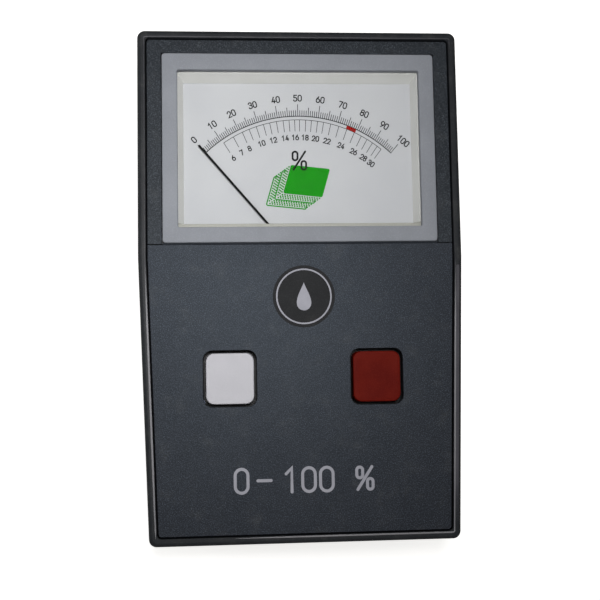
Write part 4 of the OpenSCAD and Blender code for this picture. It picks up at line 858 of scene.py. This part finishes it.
# The even scale turns by the same angle for each part. The uneven one has an angle for each value,
# and so have the outer numbers, which stand a little off their marks
MIDDLE_PART, PART_DEGREES = 50, 0.81
OUTER_NUMBERS = (-40.3, -31.9, -24.0, -16.0, -7.7, 0, 8.0, 16.1, 24.3, 32.5, 41.2)
INNER_MARKS = {
    6: -31.91, 7: -27.33, 8: -23.21, 9: -20.18, 10: -17.09, 11: -14.07, 12: -11.49, 13: -8.70,
    14: -5.97, 15: -3.58, 16: -1.31, 17: 0.66, 18: 3.17, 19: 5.51, 20: 8.00, 21: 10.47, 22: 13.43,
    23: 16.82, 24: 20.28, 25: 23.57, 26: 26.78, 27: 29.47, 28: 32.09, 29: 34.47, 30: 36.48,
}
INNER_NUMBERS = [6, 7] + list(range(8, 31, 2))


def outer_angle(value):
    """Angle in degrees at which the even scale shows a value."""
    return (np.asarray(value) - MIDDLE_PART) * PART_DEGREES


def scale(arc, line, foot, head, mark):
    """An arc, with a mark from each foot to its head; the line and the mark are widths."""
    shapes = [ribbon(arc, line, DIAL_Z, DIAL_Z + INK_T)]
    shapes += [ribbon(np.stack(ends), mark, DIAL_Z, DIAL_Z + INK_T) for ends in zip(foot, head)]
    return joined(shapes)


def outer_scale():
    """Even scale of 100 parts: a mark at each part, half, three quarters or all of the way from
    the arc to the circle of the long marks' ends."""
    value = np.arange(101)
    angle = outer_angle(value)
    foot, head = on_circle(angle, *OUTER_ARC), on_circle(angle, *OUTER_ENDS)
    share = np.where(value % 10 == 0, 1.0, np.where(value % 5 == 0, 0.75, 0.48))[:, None]
    arc = on_circle(np.linspace(angle[0], angle[-1], 90), *OUTER_ARC)
    return scale(arc, 0.24, foot, foot + (head - foot) * share, 0.19)


def inner_scale():
    """Uneven scale of percent values, with marks of one length towards the pivot."""
    angle, mark_length = np.array(list(INNER_MARKS.values())), 3.3
    foot = on_circle(angle, *INNER_ARC)
    arc = on_circle(np.linspace(angle[0], angle[-1], 80), *INNER_ARC)
    return scale(arc, 0.16, foot, foot - bearing(angle) * mark_length, 0.16)


def outer_numbers():
    """Numbers 0 to 100 on a circle outside the long marks, each square to the ray from the pivot."""
    height, pen, shapes = 1.7, 0.31, []
    for k, angle in enumerate(OUTER_NUMBERS):
        shapes += digits(str(10 * k), on_circle(angle, *OUTER_TEXT), height, angle, pen, DIAL_Z)
    return joined(shapes)


def inner_numbers():
    """Numbers under the marks of the inner scale."""
    height, pen, shapes = 1.42, 0.29, []
    for value in INNER_NUMBERS:
        angle = INNER_MARKS[value]
        shapes += digits(str(value), on_circle(angle, *INNER_TEXT), height, angle, pen, DIAL_Z)
    return joined(shapes)


def percent_sign(middle, height, pen, low, high):
    """Two upright ovals and a long slanting stroke between them, scaled from a sign of height 1."""
    upper = rounded([(-0.09, 0.47), (-0.345, 0.47), (-0.345, 0.02), (-0.09, 0.02)], 0.125)
    lower = rounded([(0.345, -0.02), (0.105, -0.02), (0.105, -0.47), (0.345, -0.47)], 0.118)
    slash = np.array([(0.31, 0.48), (-0.31, -0.47)])
    place = np.asarray(middle, float)
    return [ribbon(upper * height + place, pen, low, high, True),
            ribbon(lower * height + place, pen, low, high, True),
            ribbon(slash * height + place, pen, low, high)]


# The top sheet's corners, and the step down to each sheet below
SHEET = np.array([(-4.6, 25.9), (6.6, 24.7), (9.0, 32.9), (-2.2, 34.1)])
SHEET_STEP = np.array([-2.4, -1.7])


def paper_sheets():
    """Stack of sheets for the kind of goods: a solid sheet on top, and two more below it of which
    a strip shows on two sides; each strip has a thin outline and rows of dots."""
    top, pen, dot_r, stub = DIAL_Z + INK_T, 0.34, 0.25, 0.1
    dot = dot_r * bearing(np.arange(8)[::-1] * 45.0)
    low_left, low_right, high_left = SHEET[[0, 1, 3]]
    right, up = low_right - low_left, high_left - low_left
    shapes = [slab(rounded(SHEET, 0.5), DIAL_Z, top)]
    for k in (1, 2):
        corner = low_left + SHEET_STEP * k
        line = pen_path([corner + up + right * stub, corner + up, corner, corner + right,
                         corner + right + up * stub], 0.4, False)
        shapes.append(ribbon(line, pen, DIAL_Z, top))
        for row in (0.3, 0.55, 0.8):
            start = corner - SHEET_STEP * row
            places = [start + right * t for t in np.linspace(0.03, 0.97, 16)]
            places += [start + up * t for t in np.linspace(0.09, 0.97, 11)]
            shapes += [slab(place + dot, DIAL_Z, top) for place in places]
    return joined(shapes)


BADGE_MIDDLE, BADGE_R = np.array([0.4, -4.0]), 8.6


def badge_circle(radius):
    """Circle round the badge's middle."""
    return bearing(np.arange(72)[::-1] * 5.0) * radius + BADGE_MIDDLE


def badge_lines():
    """Thin ring, and a drop whose half-width at an angle from its point is the sine of the angle
    times a power of the sine of its half."""
    low, high, half_w, half_l = FACE_Z + INK_T / 2, FACE_Z + 2 * INK_T, 2.9, 3.9
    t = np.radians(np.arange(4, 357, 6.0))
    drop = np.column_stack([half_w * np.sin(t) * np.sin(t / 2) ** 1.6, half_l * np.cos(t)])
    ring = ribbon(badge_circle(BADGE_R - 1.1), 0.42, low, high, True)
    return joined([ring, slab(drop[::-1] + BADGE_MIDDLE, low, high)])


def range_print():
    """The measuring range in large plain figures: 0, a dash, 100 and the percent sign."""
    y, tall, pen, low, high = -54.0, 6.4, 0.82, FACE_Z - TOUCH, FACE_Z + INK_T
    zero_x, dash, hundred_x, sign_x = -17.4, (-13.0, -9.4), 0.9, 16.2
    shapes = digits("0", np.array([zero_x, y]), tall, 0.0, pen, FACE_Z)
    shapes.append(ribbon([(x, y) for x in dash], pen, low, high))
    shapes += digits("100", np.array([hundred_x, y]), tall, 0.0, pen, FACE_Z)
    return joined(shapes + percent_sign((sign_x, y), tall, pen, low, high))


def pointer_blade():
    """Flattened outer part of the needle with a blunt tip, round the wire from 9 mm outwards. The
    plan gives its half-width at distances from the pivot."""
    plan = [(9.0, 0.2), (11.0, 0.29), (NEEDLE_TIP - 0.12, 0.31), (NEEDLE_TIP, 0.2)]
    ahead = bearing(REST_ANGLE)
    across = np.array([ahead[1], -ahead[0]])
    outline = [PIVOT + ahead * reach - across * half for reach, half in plan[::-1]]
    outline += [PIVOT + ahead * reach + across * half for reach, half in plan]
    return slab(np.array(outline), NEEDLE_Z[0] - TOUCH, NEEDLE_Z[1] + TOUCH)


def red_band():
    """Block between the two arcs, from 74.5 to 79.5 of the outer scale."""
    angle = np.linspace(*outer_angle([74.5, 79.5]), 8)
    (outer_middle, outer_r), (inner_middle, inner_r) = OUTER_ARC, INNER_ARC
    band = np.concatenate([on_circle(angle, outer_middle, outer_r - 0.05),
                           on_circle(angle[::-1], inner_middle, inner_r + 0.02)])
    return slab(band, DIAL_Z, DIAL_Z + 1.5 * INK_T)


piece("outer_scale_print", outer_scale(), "ink_grey")
piece("inner_scale_print", inner_scale(), "ink_grey")
piece("outer_numbers_print", outer_numbers(), "ink_black")
piece("pointer_blade", pointer_blade(), "pointer_black", "moving_coil")
piece("inner_numbers_print", inner_numbers(), "ink_black")
dial_sign = percent_sign((0.22, 35.3), 5.55, 0.54, DIAL_Z, DIAL_Z + 3 * INK_T)
piece("percent_print", joined(dial_sign), "ink_black")
piece("paper_sheets_print", paper_sheets(), "ink_green")
badge_field = slab(badge_circle(BADGE_R), FACE_Z - TOUCH, FACE_Z + INK_T)
piece("badge_field_print", badge_field, "print_dark")
piece("badge_lines_print", badge_lines(), "print_light")
piece("range_print", range_print(), "print_light")
piece("red_band_print", red_band(), "ink_red")


# Light, floor and background

# The dome's light grows from the horizon to straight up, and glossy surfaces see a little more
# of it. The camera sees plain white.
DOME_LOW, DOME_HIGH, MIRROR_LIFT = 0.14, 0.34, 0.12

world = bpy.data.worlds.new("studio")
bpy.context.scene.world = world
world.use_nodes = True
sky_tree = world.node_tree
sky = sky_tree.nodes["Background"]
rays = put(sky_tree, "LightPath").outputs
up = put(sky_tree, "SeparateXYZ", {0: put(sky_tree, "TexCoord").outputs["Generated"]}).outputs["Z"]
dome = put(sky_tree, "MapRange", {0: up, 1: 0.0, 2: 1.0, 3: DOME_LOW, 4: DOME_HIGH}).outputs[0]
mirrored = maths(sky_tree, "MULTIPLY_ADD", rays["Is Glossy Ray"], MIRROR_LIFT, dome)
strength = put(sky_tree, "Mix", {0: rays["Is Camera Ray"], 2: mirrored, 3: 1.0}, data_type="FLOAT")
sky.inputs["Color"].default_value = (1.0, 1.0, 1.0, 1.0)
sky_tree.links.new(strength.outputs[0], sky.inputs["Strength"])


def soft_lamp(name, at, towards, size, watts, spread=180.0):
    """Square lamp at a place, turned towards a point; a narrower spread fades away from its axis."""
    data = bpy.data.lights.new(name, "AREA")
    data.shape = "SQUARE"
    data.size = size * MM
    data.energy = watts
    data.spread = np.radians(spread)
    lamp = bpy.data.objects.new(name, data)
    bpy.context.collection.objects.link(lamp)
    place = Vector(at) * MM
    turn = (Vector(towards) * MM - place).to_track_quat("-Z", "Y")
    lamp.matrix_world = Matrix.Translation(place) @ turn.to_matrix().to_4x4()


# The key lamp stands near the camera, as its broad gloss on the plate shows; the other fills from
# the left
soft_lamp("key_lamp", (-7, 21, 335), (-50, 31, 40), 60, 0.158, 78)
soft_lamp("side_lamp", (-330, 60, 300), (0, 0, 40), 160, 0.13)

# Square floor a hair below the feet, which glows for the camera alone; half its side in metres
FLOOR_HALF, FLOOR_DROP, FLOOR_GLOW = 3, 0.0002, 0.68

floor_mesh = bpy.data.meshes.new("floor")
floor_corners = [(x * FLOOR_HALF, y * FLOOR_HALF, 0) for x, y in ((-1, -1), (1, -1), (1, 1), (-1, 1))]
floor_mesh.from_pydata(floor_corners, [], [(0, 1, 2, 3)])
floor = bpy.data.objects.new("floor", floor_mesh)
bpy.context.collection.objects.link(floor)
floor.location.z = -FLOOR_DROP
paper_tree, paper_shader = new_finish("floor_white")
paper_shader.inputs["Roughness"].default_value = 0.9
paper_shader.inputs["Specular IOR Level"].default_value = 0.1
fibre = noise(paper_tree, own_place(paper_tree), 400.0)
paper_tree.links.new(blend(paper_tree, fibre, (0.9, 0.9, 0.89, 1), (0.94, 0.94, 0.93, 1)),
                     paper_shader.inputs["Base Color"])
seen = put(paper_tree, "LightPath").outputs["Is Camera Ray"]
paper_shader.inputs["Emission Color"].default_value = (1.0, 0.99, 0.97, 1.0)
glow = maths(paper_tree, "MULTIPLY", seen, FLOOR_GLOW)
paper_tree.links.new(glow, paper_shader.inputs["Emission Strength"])
floor_mesh.materials.append(finishes["floor_white"])

bpy.context.scene.view_settings.view_transform = "Standard"
